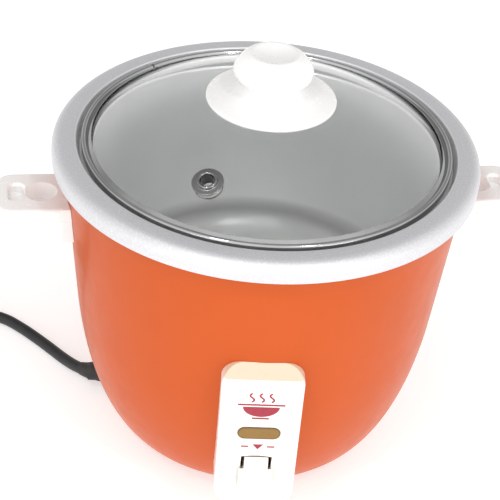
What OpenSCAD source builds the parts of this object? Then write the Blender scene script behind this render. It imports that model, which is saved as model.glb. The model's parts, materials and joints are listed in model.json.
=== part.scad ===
// Drum rice cooker: pressed steel housing, loose cooking pot with a glass lid, cast heating plate
// with a spring-loaded magnetic thermostat, cook lever, control panel, side handles and mains lead.
// Frame: origin on the table under the middle of the pot, +Z up, control panel towards -Y.

/* [Housing] */
// Height of the pot's flange above the table
rim_z = 172; // [168:0.5:180]
// Outer radius of the housing wall at its top edge
housing_r = 99; // [97.5:0.5:101]
// Inward lean of the housing wall, millimetres per millimetre of height
wall_lean = 0.073; // [0.06:0.001:0.08]
// Width of the rounded lower corner of the housing
corner_w = 23; // [20:0.5:24]
// Height of the rounded lower corner of the housing
corner_h = 77; // [70:1:84]
// Height of the housing's underside above the table
underside_z = 6; // [5:0.5:8]
// Thickness of the pressed steel sheet
sheet_t = 1; // [0.8:0.1:1.2]

/* [Cooking pot] */
// Thickness of the aluminium sheet
pot_t = 1.2; // [1:0.1:1.4]
// Radius of the rounded corner between wall and bottom
pot_corner_r = 18; // [12:1:24]
// How far the flange reaches past the housing's top edge
flange_over = 5; // [4.5:0.1:6.5]
// Width of the flange, from the mouth of the lid's seat to its outer edge
flange_w = 11.7; // [11:0.1:13]
// Width of the step between the mouth and the pot's wall
step_w = 9.3; // [8:0.1:12]
// Depth of the lid's seat below the flange
seat_depth = 6; // [5:0.25:7]
// Radius of the flange's rounded outer edge
flange_round = 5.5; // [4:0.5:6]
// Height of the flange's turned-down lip
lip_h = 9.3; // [8:0.1:11]

/* [Lid] */
// Gap between the lid's steel band and the mouth of its seat
lid_play = 2.3; // [1.6:0.1:3]
// Height of the lid's steel band
band_h = 6.4; // [5.5:0.1:7]
// Width of the band's top, seen from above
band_w = 5; // [4:0.5:6]
// Radius of the glass dome's outer face
dome_r = 160; // [150:1:175]
// Thickness of the glass
glass_t = 3; // [2.6:0.1:3.1]
// Radius of the vent's place, from the middle of the lid
vent_place_r = 65; // [50:1:72]
// Direction of the vent, anticlockwise from +X
vent_angle = -117; // [-180:1:180]
// Outer radius of the vent's flange
vent_r = 7.4; // [6:0.1:9]
// Radius of the vent's steam hole
vent_bore_r = 3.2; // [2:0.1:4]

/* [Knob] */
// Radius of the knob's skirt
skirt_r = 30.8; // [26:0.2:34]
// Radius of the knob's cap at its widest
cap_r = 19; // [16:0.5:22]
// Radius of the knob's neck
neck_r = 13.5; // [11:0.5:15]
// Height of the knob above the edge of its skirt
knob_h = 24.5; // [22:0.5:30]
// Radius of the screw that holds the knob
knob_screw_r = 2.5; // [2:0.1:3]

/* [Heating plate] */
// How far the cast heating plate's edge stays inside the pot's wall
plate_in = 17; // [15:0.5:20]
// Height of the plate's face above the table
plate_z = 62; // [60:0.5:64]
// Thickness of the plate over its heating coil
plate_t = 14; // [12:0.5:15]
// Radius of the hole for the thermostat
plate_hole_r = 18.3; // [18.2:0.1:19]

/* [Thermostat and cook lever] */
// Outer radius of the thermostat's cup
cup_r = 17.5; // [16.5:0.1:17.8]
// Height of the thermostat's cup
cup_h = 22; // [20:0.5:23]
// Height of the spring under the thermostat's cup
spring_h = 6.8; // [6.6:0.1:8]
// Angle that the cook lever turns through
lever_turn = 6.5; // [5:0.1:7]
// Distance from the lever's pivot back to the magnet's rod
rod_arm = 37; // [34:0.5:40]
// Radius of the lever's pivot pin
pin_r = 2; // [1.5:0.1:2.5]
// Width of the steel lever
lever_w = 9; // [7:0.5:10]
// Thickness of the steel lever
lever_t = 1.5; // [1.2:0.1:2]
// Radius of the magnet
magnet_r = 9.5; // [8:0.5:10]
// Height of the magnet
magnet_h = 8; // [6:0.5:9]

/* [Control panel] */
// Width of the control panel
panel_w = 38.5; // [36:0.5:44]
// Height of the panel's lower edge above the table
panel_low_z = 22; // [20:0.5:24]
// Height of the panel
panel_h = 88; // [84:1:92]
// How far the panel's face stands in front of the housing's top edge
panel_proud = 0.5; // [0:0.1:3]
// Thickness of the panel's moulded wall
panel_t = 2.2; // [1.8:0.1:2.6]
// Height of the sloped top of the panel
panel_slope_h = 6.5; // [5:0.5:12]
// Width of the indicator lens
lens_w = 20.4; // [16:0.2:24]
// Height of the indicator lens
lens_h = 7.3; // [6:0.1:9]
// Height of the lens's middle above the table
lens_z = 70.5; // [68:0.5:74]
// Width of the cook key
key_w = 11.4; // [10:0.1:13]
// Height of the key's upper edge above the table
key_top_z = 54; // [52:0.5:56]

/* [Handles] */
// Width of the handle's grip
grip_w = 34; // [28:0.5:38]
// Thickness of the handle's grip
grip_t = 8; // [7:0.25:10]
// Height of the grip's upper face above the table
grip_z = 143; // [134:1:146]
// Length of the grip, measured from the housing's wall
grip_l = 34.3; // [30:0.1:42]
// Height of the handle's foot on the housing
foot_plate_h = 19; // [18:0.5:24]
// How far the line of the two handles is turned off square to the panel
handle_turn = 6.5; // [0:0.5:8]

/* [Base] */
// How far the base plate's edge stays inside the housing's lower edge
base_in = 3; // [2:0.5:5]
// Width by which the base plate laps under the housing
base_lap = 11; // [9:0.5:13]
// Radius of each foot
foot_r = 8; // [6:0.5:9]
// Distance of each foot's middle inside the edge of the housing's hole
foot_in = 12; // [11.5:0.5:18]
// Number of feet
foot_count = 4; // [3:1:6]
// Rows of vent slots around the base plate
slot_count = 12; // [8:1:16]

/* [Mains lead] */
// Diameter of the lead
lead_d = 6.5; // [6:0.1:7]
// Radius of the coil at the middle of its two turns
coil_r = 36; // [33:0.5:38]
// Length of the plug's body
plug_l = 36; // [30:1:42]
// Distance between the plug's pins
plug_pitch = 19; // [18:0.5:20]

/* [Hidden] */
$fn = 96;

// gap between pieces that are assembled loosely
slack = 0.3;
// hair's breadth by which a cutter reaches past the face that it cuts
eps = 0.05;
// radial clearance of a turning pin
pin_fit = 0.05;

// ---------- points and profiles ----------

// points along an arc about c
function arc(c, r, a0, a1, n = 5) =
    [for (i = [0:n]) let (a = a0 + (a1 - a0) * i / n) c + r * [cos(a), sin(a)]];

// points along an oval arc about c with half widths r.x and r.y
function oval(c, r, a0, a1, n) =
    [for (i = [0:n]) let (a = a0 + (a1 - a0) * i / n) c + [r.x * cos(a), r.y * sin(a)]];

// unit normal on the left of the segment from a to b
function left(a, b) = let (d = (b - a) / norm(b - a)) [-d.y, d.x];

// offset of point i of path p by t, mitred at the corners
function mitre(p, i, t) =
    i == 0 ? t * left(p[0], p[1]) :
    i == len(p) - 1 ? t * left(p[i - 1], p[i]) :
    let (n = left(p[i - 1], p[i]) + left(p[i], p[i + 1])) 2 * t * n / (n * n);

// closed outline of a sheet of thickness t that lies on the left of path p
function sheet(p, t) =
    concat(p, [for (i = [len(p) - 1:-1:0]) p[i] + mitre(p, i, t)]);

// spun or pressed sheet part: path p in (radius, height), turned about the Z axis
module spun(p, t) {
    rotate_extrude() polygon(sheet(p, t));
}

// ---------- housing profile ----------

housing_top_z = rim_z - pot_t;
corner_top_z = underside_z + corner_h;

// wall radius if the lower corner were not rounded
function lean_r(z) = housing_r - wall_lean * (housing_top_z - z);
// how far the rounded corner pulls the wall in at height z
function corner_in(z) =
    z >= corner_top_z ? 0 : corner_w * (1 - sqrt(1 - pow((corner_top_z - z) / corner_h, 2)));
// outer radius of the housing at height z
function wall_r(z) = lean_r(z) - corner_in(z);

// the housing's outer face from its underside up to its top edge
wall_path = concat(
    [for (a = [90:-7.5:0]) let (z = corner_top_z - corner_h * sin(a)) [wall_r(z), z]],
    [[lean_r(housing_top_z - 2), housing_top_z - 2]]);

// solid of revolution inside the housing's outer face, grown by d
module housing_body(d = 0) {
    rotate_extrude()
        polygon(concat([[0, underside_z]], [for (p = wall_path) p + [d, 0]],
            [[housing_r + d, housing_top_z], [0, housing_top_z]]));
}

// ---------- derived sizes ----------

// pot and lid seat, from the housing's top edge inwards
flange_r = housing_r + flange_over;
mouth_r = flange_r - flange_w;
pot_r = mouth_r - step_w;
band_r = mouth_r - lid_play;
seat_z = rim_z - seat_depth;
seat_r = mouth_r - 1;
pot_floor_z = plate_z + pot_t;
flange_flat_r = flange_r - flange_round;
// inner edge of the housing's ledge, just clear of the pot's seat
ledge_gap = 1;
ledge_r = mouth_r + pot_t + ledge_gap;
drum_top_z = housing_top_z - sheet_t;
drum_t = 0.8;
drum_gap = 2.2;
drum_r = pot_r + pot_t + drum_gap + drum_t;
plate_r = pot_r - plate_in;
plate_low_z = plate_z - plate_t;
drum_floor_z = plate_low_z - 3;
drum_floor_r = plate_r + 7;
drum_knee_z = plate_z;
drum_hole_r = 26;
// heating plate
ring_r = plate_r - 14;
ring_w = 9;
ring_h = 6;
spacer_r = 4;
spacer_place_r = ring_r + 2;
spacer_angles = [30, 150, 270];
// thermostat
cup_t = 0.8;
cup_low_z = plate_z - cup_h;
cup_lip_r = 14.5;
bracket_t = 1.2;
bracket_z = cup_low_z - spring_h - bracket_t;
cup_collar_w = 2;
bracket_half_x = cup_r + cup_collar_w + 0.6 + bracket_t;
bracket_half_y = 18;
tongue_half_x = 7.7;
arm_step_y = drum_floor_r - 3;
tongue_y = arm_step_y - 6;
// lever: height of its underside, of its pivot and travel of the rod
lever_z = 24;
pivot_y = -rod_arm;
pivot_z = lever_z + lever_t + pin_r + 0.75;
rod_lift = rod_arm * sin(lever_turn);
rod_r = 2.5;
collar_r = 5;
collar_gap = 0.9;
holder_z = cup_low_z + 2.2;
holder_t = 1.2;
holder_r = 13.6;
magnet_z = holder_z + holder_t;
// clear air between the latched magnet and the ferrite
latch_gap = 0.05;
ferrite_z = magnet_z + magnet_h + rod_lift + latch_gap;
ferrite_h = plate_z - cup_t - ferrite_z;
ear_t = 1.2;
ear_gap = 0.4;
arm_high_z = 42;
arm_front_y = housing_r + panel_proud - 7.5;
// switch
switch_x = tongue_half_x - ear_t;
switch_t = 6.4;
switch_arm = 15;
switch_y = pivot_y - switch_arm;
switch_l = 20;
switch_h = 8.5;
switch_tab_h = 1.8;
switch_top_z = 18.8;
plunger_r = 1.2;
plunger_gap = 0.2;
// panel
panel_y = housing_r + panel_proud;
panel_top_z = panel_low_z + panel_h;
panel_top_round = 10;
panel_low_round = 9;
panel_edge = 1.4;
lens_flange = 2;
lens_proud = 0.5;
slot_low_z = 31;
slot_side = 1.7;
scoop_rim_t = 1.4;
scoop_r = 12;
scoop_depth = 2;
scoop_z = key_top_z - 9;
scoop_ball_r = (pow(scoop_r, 2) + pow(scoop_depth, 2)) / (2 * scoop_depth);
window_half_x = 12;
window_low_z = 26;
window_top_z = 78;
screw_r = 1.5;
head_r = 3;
head_h = 1.8;
head_round = 1;
// how far a screw bites into a casting, and how far it stands out behind sheets
screw_bite = 5.5;
screw_out = 3;
panel_screw_at = [[0, panel_top_z - 18], [-14.5, drum_floor_z + 5], [14.5, drum_floor_z + 5]];
boss_r = 3.2;
// key
key_face_y = panel_y + 0.6;
key_lip_z = slot_low_z + 2.5;
key_lip_y = key_face_y + 3.4;
key_lip_top_z = key_top_z - 8;
key_lip_w = key_w + 2 * slot_side + 1.6;
key_lip_round = 2.6;
// the part of the key inside the slot stays above the slot's lower edge when pressed
key_low_z = slot_low_z + (key_face_y + pivot_y) * sin(lever_turn) + 0.6;
// handles
grip_reach = wall_r(grip_z) + grip_l;
grip_round = 8;
grip_edge = 2;
foot_plate_w = grip_w - 1;
foot_plate_t = 3.5;
foot_low_z = grip_z - foot_plate_h;
dimple_x = grip_reach - 10;
dimple_w = 7.5;
dimple_l = 14;
dimple_depth = 4.8;
dimple_edge = 1.2;
thumb_r = 16;
thumb_depth = 2.2;
handle_foot_x = wall_r(grip_z) + foot_plate_t;
// places of the handle's screws, across and in height
handle_screw_at = [[-7.5, grip_z - 4.5], [7.5, grip_z - 4.5], [0, foot_low_z + 5.5]];
// base
base_t = 1;
base_z = underside_z - base_t;
foot_angles = [for (i = [0:foot_count - 1]) 360 * (i + 0.5) / foot_count];
base_r = wall_r(underside_z) - base_in;
base_hole_r = base_r - base_lap;
base_screw_place_r = (base_r + base_hole_r) / 2;
foot_place_r = base_hole_r - foot_in;
// raised middle of the base plate, which the feet are fixed to
dish_h = 1.5;
dish_r = foot_place_r + foot_r + 3;
peg_r = 1.9;
base_screw_angles = [90, 210, 330];
// mains lead, gland and coil
gland_z = 14;
gland_angle = 177;
gland_yaw = 170;
gland_pitch = 16;
gland_hole_r = 5;
gland_tip_l = 14;
gland_in_l = 9;
coil_layers = 2;
coil_h = coil_layers * lead_d;
coil_at = [-210, 92];
lead_r = lead_d / 2;
coil_in_r = coil_r - lead_d;
coil_out_r = coil_r + lead_d;
// route of the lead from the gland to the coil
lead_route = [
    [-74, 4.5, 13.5], [-81, 6, 11.5], [-88, 9, 9], [-95, 14.5, 6.5], [-103, 23, 4.5],
    [-111, 32, 3.5], [-120, 41, 3.25], [-130, 50, 3.25], [-141, 58, 3.25], [-153, 62, 3.25],
    [-166, 62, 3.25], [-179, 58, 3.25], [-192, 54.5, 3.25], [-202, 53.2, 3.25]
];
// route of the lead from the coil to the plug
tail_route = [
    [-238, 64.5, 9.75], [-250, 76, 9.5], [-259, 92, 8.5], [-262, 110, 7.5], [-257, 127, 7],
    [-247, 140, 7], [-236, 147, 7], [-226, 148, 7]
];
plug_w = 25;
plug_h = 14;
plug_pin_r = 2.4;
plug_pin_l = 19;

// ---------- small helpers ----------

// smooth curve through the points of route p: Catmull-Rom, m steps to each stretch
function catmull(a, b, c, d, t) =
    0.5 * (2 * b + (c - a) * t + (2 * a - 5 * b + 4 * c - d) * t * t
        + (3 * b - a - 3 * c + d) * t * t * t);
function smooth(p, m = 3) = let (n = len(p) - 1) concat(
    [for (i = [0:n - 1], j = [0:m - 1])
        catmull(p[max(i - 1, 0)], p[i], p[i + 1], p[min(i + 2, n)], j / m)],
    [p[n]]);

// direction of curve q at its point i
function heading(q, i) =
    let (d = q[min(i + 1, len(q) - 1)] - q[max(i - 1, 0)]) d / norm(d);

// round tube of radius r along curve q, with k sides, closed at both ends
module tube(q, r, k = 10) {
    rings = [for (i = [0:len(q) - 1])
        let (h = heading(q, i), s = cross(h, [0, 0, 1]), side = s / norm(s), up = cross(side, h))
        [for (j = [0:k - 1]) q[i] + r * (cos(360 * j / k) * side + sin(360 * j / k) * up)]];
    n = len(q);
    polyhedron(
        points = [for (ring = rings, p = ring) p],
        faces = concat(
            [[for (j = [0:k - 1]) j]],
            [for (i = [0:n - 2], j = [0:k - 1]) let (a = i * k + j, b = i * k + (j + 1) % k)
                each [[a, a + k, b], [b, a + k, b + k]]],
            [[for (j = [k - 1:-1:0]) (n - 1) * k + j]]));
}

// flat rectangle with rounded corners, w wide, h high, lower corners r0 and upper corners r1
module rounded(w, h, r0, r1) {
    for (s = [-1, 1]) {
        translate([s * (w / 2 - r0), r0]) circle(r0);
        translate([s * (w / 2 - r1), h - r1]) circle(r1);
        translate([s > 0 ? 0 : -w / 2, r0]) square([w / 2, h - r0 - r1]);
    }
    translate([-w / 2 + r0, 0]) square([w - 2 * r0, h / 2]);
    translate([-w / 2 + r1, h / 2]) square([w - 2 * r1, h / 2]);
}

// stadium w wide and h high about the origin
module stadium(w, h) {
    for (s = [-1, 1]) translate([s * (w - h) / 2, 0]) circle(h / 2);
    square([w - h, h], center = true);
}

// drawing in (X, Z) extruded from distance y0 to distance y1 in front of the middle
module front(y0, y1) {
    translate([0, -y0, 0]) rotate([90, 0, 0]) linear_extrude(y1 - y0) children();
}

// copies at each angle, at distance r from the middle
module around(angles, r) {
    for (a = angles) rotate(a) translate([r, 0, 0]) children();
}

// cylinder along X from x0 to x1
module rod_x(r, x0, x1) {
    translate([x0, 0, 0]) rotate([0, 90, 0]) cylinder(r = r, h = x1 - x0);
}

// pan-head screw: head below z = 0, shank of length l above
module screw_up(l, r = screw_r) {
    cylinder(r = r, h = l);
    rotate_extrude() polygon(concat([[0, 0], [head_r, 0]],
        arc([head_r - head_round, head_round - head_h], head_round, 0, -90, 3), [[0, -head_h]]));
}

// how far out a screw head lies against the inside of the housing, at p = [across, height]
function head_seat(p) = sqrt(pow(wall_r(p.y - head_r) - sheet_t, 2) - pow(abs(p.x) + head_r, 2));

// coil spring of wire radius w, mean radius r, from z0 to z1 with n turns
module coil_spring(r, w, z0, z1, n, k = 14) {
    steps = n * k;
    q = [for (i = [0:steps]) let (a = 360 * i / k)
        [r * cos(a), r * sin(a), z0 + w + (z1 - z0 - 2 * w) * i / steps]];
    tube(q, w, 6);
}

// ---------- housing and its fixed parts ----------

// cutter along the gland's axis, starting l in front of the wall
module gland_frame() {
    rotate(gland_angle) translate([wall_r(gland_z), 0, gland_z])
        rotate([0, 0, gland_yaw - gland_angle]) rotate([0, 90 + gland_pitch, 0]) children();
}

module outer_housing() {
    color("#e87142") difference() {
        spun(concat([[base_hole_r, underside_z]], wall_path,
            arc([housing_r - 1.6, housing_top_z - 1.6], 1.6, 0, 90, 3),
            [[ledge_r, housing_top_z]]), sheet_t);
        // window behind the control panel, for the lever, the lamp and its wires
        translate([-window_half_x, -panel_y, window_low_z])
            cube([2 * window_half_x, 30, window_top_z - window_low_z]);
        for (p = panel_screw_at) translate([p.x, -panel_y, p.y]) rotate([-90, 0, 0])
            cylinder(r = screw_r + slack, h = 30);
        rotate(handle_turn) for (m = [0, 1], p = handle_screw_at) mirror([m, 0, 0])
            translate([0, p.x, p.y]) rod_x(screw_r + slack, 60, 120);
        gland_frame() cylinder(r = gland_hole_r, h = 30, center = true);
        around(base_screw_angles, base_screw_place_r) translate([0, 0, underside_z - 1])
            cylinder(r = screw_r + slack, h = 5);
    }
}

module heat_drum() {
    step_z = seat_z - pot_t - 1.5;
    color("#c9ccd0") difference() {
        spun([[drum_hole_r, drum_floor_z], [drum_floor_r, drum_floor_z], [drum_r, drum_knee_z],
            [drum_r, step_z - drum_t], [ledge_r + 0.6, step_z - drum_t],
            [ledge_r + 0.6, drum_top_z - drum_t], [housing_r - sheet_t - 1, drum_top_z - drum_t]], drum_t);
        // holes for the plate's spacers, the heating coil's ends and the bracket's screws
        around(spacer_angles, spacer_place_r) translate([0, 0, drum_floor_z - 1])
            cylinder(r = screw_r + slack, h = 3);
        terminal_places() translate([0, 0, drum_floor_z - 1]) cylinder(r = 4, h = 3);
        bracket_screw_places() translate([0, 0, drum_floor_z - 1]) cylinder(r = screw_r + slack, h = 3);
    }
}

// where the ends of the heating coil leave the plate
module terminal_places() {
    for (s = [-1, 1]) rotate(90 + s * 20) translate([ring_r, 0, 0]) children();
}

// where the lever bracket is screwed to the drum's floor
module bracket_screw_places() {
    for (s = [-1, 1]) translate([s * (bracket_half_x + 11), 0, 0]) children();
}

module heating_plate() {
    disc_low_z = plate_low_z + ring_h;
    color("#9b9ea2") difference() {
        union() {
            // disc with a rounded edge and the cast ring that holds the heating coil
            rotate_extrude() polygon(concat(
                [[plate_hole_r, disc_low_z]], oval([ring_r, disc_low_z], [ring_w, ring_h], 180, 360, 8),
                [[plate_r, disc_low_z]], arc([plate_r - 2, plate_z - 2], 2, 0, 90, 3),
                [[plate_hole_r + 0.8, plate_z], [plate_hole_r, plate_z - 0.8]]));
            around(spacer_angles, spacer_place_r) translate([0, 0, plate_low_z])
                cylinder(r = spacer_r + 1, h = ring_h);
        }
        // turned rings on the face that carries the pot
        for (r = [plate_hole_r + 8:8:plate_r - 6]) translate([0, 0, plate_z - 0.3]) difference() {
            cylinder(r = r + 0.4, h = 1);
            translate([0, 0, -1]) cylinder(r = r - 0.4, h = 3);
        }
        around(spacer_angles, spacer_place_r) translate([0, 0, plate_low_z - 1])
            cylinder(r = screw_r - 0.1, h = 8);
    }
}

module plate_spacers() {
    color("#b9bcc0") around(spacer_angles, spacer_place_r) {
        translate([0, 0, drum_floor_z + drum_t]) difference() {
            cylinder(r = spacer_r, h = plate_low_z - drum_floor_z - drum_t);
            translate([0, 0, -1]) cylinder(r = screw_r, h = 10);
        }
        translate([0, 0, drum_floor_z]) screw_up(plate_low_z - drum_floor_z + screw_bite, screw_r - 0.1);
    }
}

module element_terminals() {
    collar_t = 1.5;
    stud_l = 12;
    tab_l = 7;
    tab_w = 6;
    color("#d6d2c4") terminal_places() {
        translate([0, 0, plate_low_z - collar_t]) cylinder(r = 3.2, h = collar_t);
        translate([0, 0, plate_low_z - stud_l]) cylinder(r = 1.5, h = stud_l);
        translate([-tab_w / 2, -0.4, plate_low_z - stud_l - tab_l + 1]) cube([tab_w, 0.8, tab_l]);
    }
}

module lever_bracket() {
    side_top_z = drum_floor_z - bracket_t;
    foot_l = 16;
    color("#b4b7ba") difference() {
        union() {
            // base under the cup, with a tongue that reaches forward over the lever
            translate([-bracket_half_x, -bracket_half_y, bracket_z])
                cube([2 * bracket_half_x, 2 * bracket_half_y, bracket_t]);
            translate([-tongue_half_x, -tongue_y, bracket_z])
                cube([2 * tongue_half_x, tongue_y - bracket_half_y + 1, bracket_t]);
            // two legs up to the drum's floor, each with a foot
            for (s = [-1, 1]) {
                translate([s > 0 ? bracket_half_x - bracket_t : -bracket_half_x, -bracket_half_y, bracket_z])
                    cube([bracket_t, 2 * bracket_half_y, drum_floor_z - bracket_z]);
                translate([s > 0 ? bracket_half_x - bracket_t : -bracket_half_x - foot_l, -bracket_half_y,
                    side_top_z]) cube([foot_l + bracket_t, 2 * bracket_half_y, bracket_t]);
            }
            // ears for the pivot pin, the longer one also holds the switch
            for (s = [-1, 1])
                translate([s > 0 ? tongue_half_x - ear_t : -tongue_half_x, pivot_y - 5, lever_z])
                    cube([ear_t, 10, bracket_z - lever_z + bracket_t]);
            translate([tongue_half_x - ear_t, switch_y - switch_l / 2, switch_top_z - switch_h])
                cube([ear_t, switch_l, bracket_z - switch_top_z + switch_h + bracket_t]);
        }
        translate([0, 0, bracket_z - 1]) cylinder(r = rod_r + 0.6, h = 4);
        translate([0, pivot_y, pivot_z]) rod_x(pin_r, -30, 30);
        bracket_screw_places() translate([0, 0, side_top_z - 1]) cylinder(r = screw_r + slack, h = 4);
    }
}

module bracket_screws() {
    color("#c8cacc") bracket_screw_places()
        translate([0, 0, drum_floor_z - bracket_t]) screw_up(bracket_t + drum_t + screw_out);
}

module lever_pin() {
    color("#d0d2d4") translate([0, pivot_y, pivot_z]) {
        rod_x(pin_r, -tongue_half_x - 0.5, tongue_half_x + 1.5);
        rod_x(pin_r + 1, -tongue_half_x - 2, -tongue_half_x);
    }
}

module thermal_fuse() {
    color("#e8e4da") translate([40, -34, drum_floor_z - 3]) {
        rod_x(3, -9, 9);
        for (s = [-1, 1]) rod_x(0.6, s > 0 ? 9 : -16, s > 0 ? 16 : -9);
    }
    color("#b4b7ba") translate([38, -39, drum_floor_z - 0.8]) cube([4, 10, 0.8]);
}

module terminal_block() {
    w = 14;
    h = 13;
    pole_y = [6.5, 17.5];
    translate([-40, 28, drum_floor_z - h]) {
        color("#efe9dc") difference() {
            cube([w, pole_y[0] + pole_y[1], h]);
            for (y = pole_y) {
                translate([w / 2, y, -1]) cylinder(r = 2.6, h = 6);
                translate([0, y, h / 2]) rod_x(1.8, -1, w + 1);
            }
            translate([-1, w - 2.7, -1]) cube([w + 2, 1.4, 5]);
        }
        color("#c8b26a") for (y = pole_y) translate([w / 2, y, 0.5]) cylinder(r = 2.3, h = 4.5);
    }
}

module microswitch() {
    x0 = switch_x - switch_t;
    color("#2c2d30") difference() {
        translate([x0, switch_y - switch_l / 2, switch_top_z - switch_h])
            cube([switch_t, switch_l, switch_h]);
        for (s = [-1, 1]) translate([0, switch_y + s * 4.8, switch_top_z - switch_h + 2.4])
            rod_x(1.2, x0 - 1, switch_x + 1);
        translate([x0 + switch_t / 2, switch_y, switch_top_z - 4]) cylinder(r = plunger_r + pin_fit, h = 5);
    }
    color("#c8b26a") for (s = [-1, 1])
        translate([x0 + 1.4, switch_y + s * 8.2 - 0.4, switch_top_z - switch_h - switch_tab_h])
            cube([3.4, 0.8, switch_tab_h]);
}

module switch_plunger() {
    color("#d8402e") translate([switch_x - switch_t / 2, switch_y, 0]) {
        rise = lever_z - plunger_gap - switch_top_z;
        translate([0, 0, switch_top_z - 1.5]) cylinder(r = plunger_r, h = rise + 1.5);
    }
}

// ---------- control panel ----------

// the panel's outline out to distance y, drawn in by d all round, with a rounded front edge
module panel_block(y, d) {
    hull() for (a = [0, 30, 60, 90]) let (in = d + panel_edge * (1 - cos(a)), $fn = 32)
        front(60, y - panel_edge * (1 - sin(a))) translate([0, panel_low_z + in])
            rounded(panel_w - 2 * in, panel_h - 2 * in, panel_low_round - in, panel_top_round - in);
}

// wedge above the panel's sloped top; y is the face, drawn in by d
module slope_cut(y, d) {
    back_y = wall_r(panel_top_z);
    translate([-panel_w, 0, 0]) rotate([90, 0, 90]) linear_extrude(2 * panel_w) polygon([
        [-y - 1, panel_top_z + 20], [-y - 1, panel_top_z - panel_slope_h - d * 1.2],
        [-y, panel_top_z - panel_slope_h - d * 1.2], [-back_y, panel_top_z - d * 1.2],
        [-back_y, panel_top_z + 20]]);
}

module control_panel() {
    cavity_y = panel_y - panel_t;
    color("#f6efe2") difference() {
        union() {
            difference() {
                panel_block(panel_y, 0);
                slope_cut(panel_y, 0);
                // moulded inside
                difference() {
                    panel_block(cavity_y, panel_t);
                    slope_cut(cavity_y, panel_t);
                }
            }
            // screw bosses and the thick rim behind the finger scoop
            for (p = panel_screw_at) front(wall_r(p.y) - 8, cavity_y + 1) translate(p) circle(boss_r);
            front(cavity_y - scoop_rim_t, cavity_y + 1) translate([0, scoop_z])
                square([key_w + 2 * slot_side + 10, 2 * scoop_r], center = true);
        }
        housing_body(0.1);
        // lens hole, key slot and finger scoop
        front(60, panel_y + 1) translate([0, lens_z]) stadium(lens_w, lens_h);
        front(60, panel_y + 1) translate([-key_w / 2 - slot_side, slot_low_z])
            square([key_w + 2 * slot_side, key_top_z + 0.8 - slot_low_z]);
        translate([0, scoop_depth - panel_y - scoop_ball_r, scoop_z]) sphere(r = scoop_ball_r);
        for (p = panel_screw_at) front(60, cavity_y) translate(p) circle(screw_r - 0.1);
    }
}

module indicator_lens() {
    color("#b08c42") {
        front(panel_y - panel_t, panel_y + lens_proud) translate([0, lens_z])
            stadium(lens_w - 0.2, lens_h - 0.2);
        front(panel_y - panel_t - 1, panel_y - panel_t) translate([0, lens_z])
            stadium(lens_w + 2 * lens_flange, lens_h + 2 * lens_flange);
    }
}

module indicator_lamp() {
    bulb_y = panel_y - panel_t - 1 - 2.2;
    color("#f0b070") translate([0, -bulb_y, lens_z]) {
        rod_x(2.2, -7, 6);
        translate([6, 0, 0]) sphere(r = 2.2);
    }
    color("#e6e2d8") translate([-9, -bulb_y - 2.2, lens_z - 2.6]) cube([4, 4.8, 5.2]);
    color("#c8b26a") for (s = [-1, 1])
        translate([-9, -bulb_y + 1.6, lens_z + s * 1.4 - 0.3]) cube([0.6, 4, 0.6]);
}

module panel_screws() {
    color("#c8cacc") for (p = panel_screw_at) {
        seat_y = head_seat(p);
        shank = panel_y - panel_t - 1 - seat_y;
        translate([p.x, -seat_y, p.y]) rotate([90, 0, 0]) screw_up(shank, screw_r - 0.1);
    }
}

// ---------- handles ----------

// half section of the grip out to r, with rounded edges
function grip_section(r) = concat([[0, grip_z - grip_t]],
    arc([r - grip_edge, grip_z - grip_t + grip_edge], grip_edge, -90, 0, 3),
    arc([r - grip_edge, grip_z - grip_edge], grip_edge, 0, 90, 3), [[0, grip_z]]);

// flat grip from x0 outwards, with rounded end corners
module grip(x0) {
    corner_x = grip_reach - grip_round;
    corner_y = grip_w / 2 - grip_round;
    for (m = [0, 1]) mirror([0, m, 0]) {
        translate([x0, 0, 0]) rotate([90, 0, 90]) linear_extrude(corner_x - x0)
            polygon(grip_section(grip_w / 2));
        translate([corner_x, corner_y, 0]) rotate_extrude() polygon(grip_section(grip_round));
    }
    translate([corner_x, corner_y, 0]) rotate([90, 0, 0]) linear_extrude(2 * corner_y)
        polygon(grip_section(grip_round));
}

// handle on the +X side: grip, foot plate against the housing and the web that joins them
module handle() {
    low_z = grip_z - grip_t;
    web_r = low_z - foot_low_z - 1.5;
    web_w = foot_plate_w - 1;
    root_x = wall_r(foot_low_z) - 6;
    foot_x = handle_foot_x;
    difference() {
        union() {
            grip(root_x);
            // foot plate and the curved web under the grip
            translate([0, foot_plate_w / 2, 0]) rotate([90, 0, 0]) linear_extrude(foot_plate_w)
                polygon([[root_x, foot_low_z], [foot_x - 1.2, foot_low_z], [foot_x, foot_low_z + 1.2],
                    [foot_x, grip_z - 1.2], [foot_x - 1.2, grip_z], [root_x, grip_z]]);
            translate([0, web_w / 2, 0]) rotate([90, 0, 0]) linear_extrude(web_w)
                polygon(concat([[root_x, grip_z - 1], [root_x, low_z - web_r]],
                    arc([foot_x + web_r, low_z - web_r], web_r, 180, 90, 5), [[foot_x + web_r, grip_z - 1]]));
        }
        housing_body(0.15);
        // oval hollow near the end and a thumb hollow near the housing
        translate([dimple_x, 0, grip_z - dimple_depth]) linear_extrude(dimple_depth + 1)
            rotate(90) stadium(dimple_l, dimple_w);
        translate([dimple_x, 0, grip_z - dimple_edge])
            linear_extrude(2 * dimple_edge, scale = 1 + 4 * dimple_edge / dimple_l)
            rotate(90) stadium(dimple_l, dimple_w);
        translate([foot_x + 9, 0, grip_z + thumb_r - thumb_depth]) sphere(r = thumb_r);
        for (p = handle_screw_at) translate([0, p.x, p.y]) rod_x(screw_r - 0.1, 60, foot_x - 1);
    }
}

module handle_right() {
    color("#f7f3ee") rotate(handle_turn) handle();
}

module handle_left() {
    color("#f7f3ee") rotate(handle_turn) mirror([1, 0, 0]) handle();
}

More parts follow.
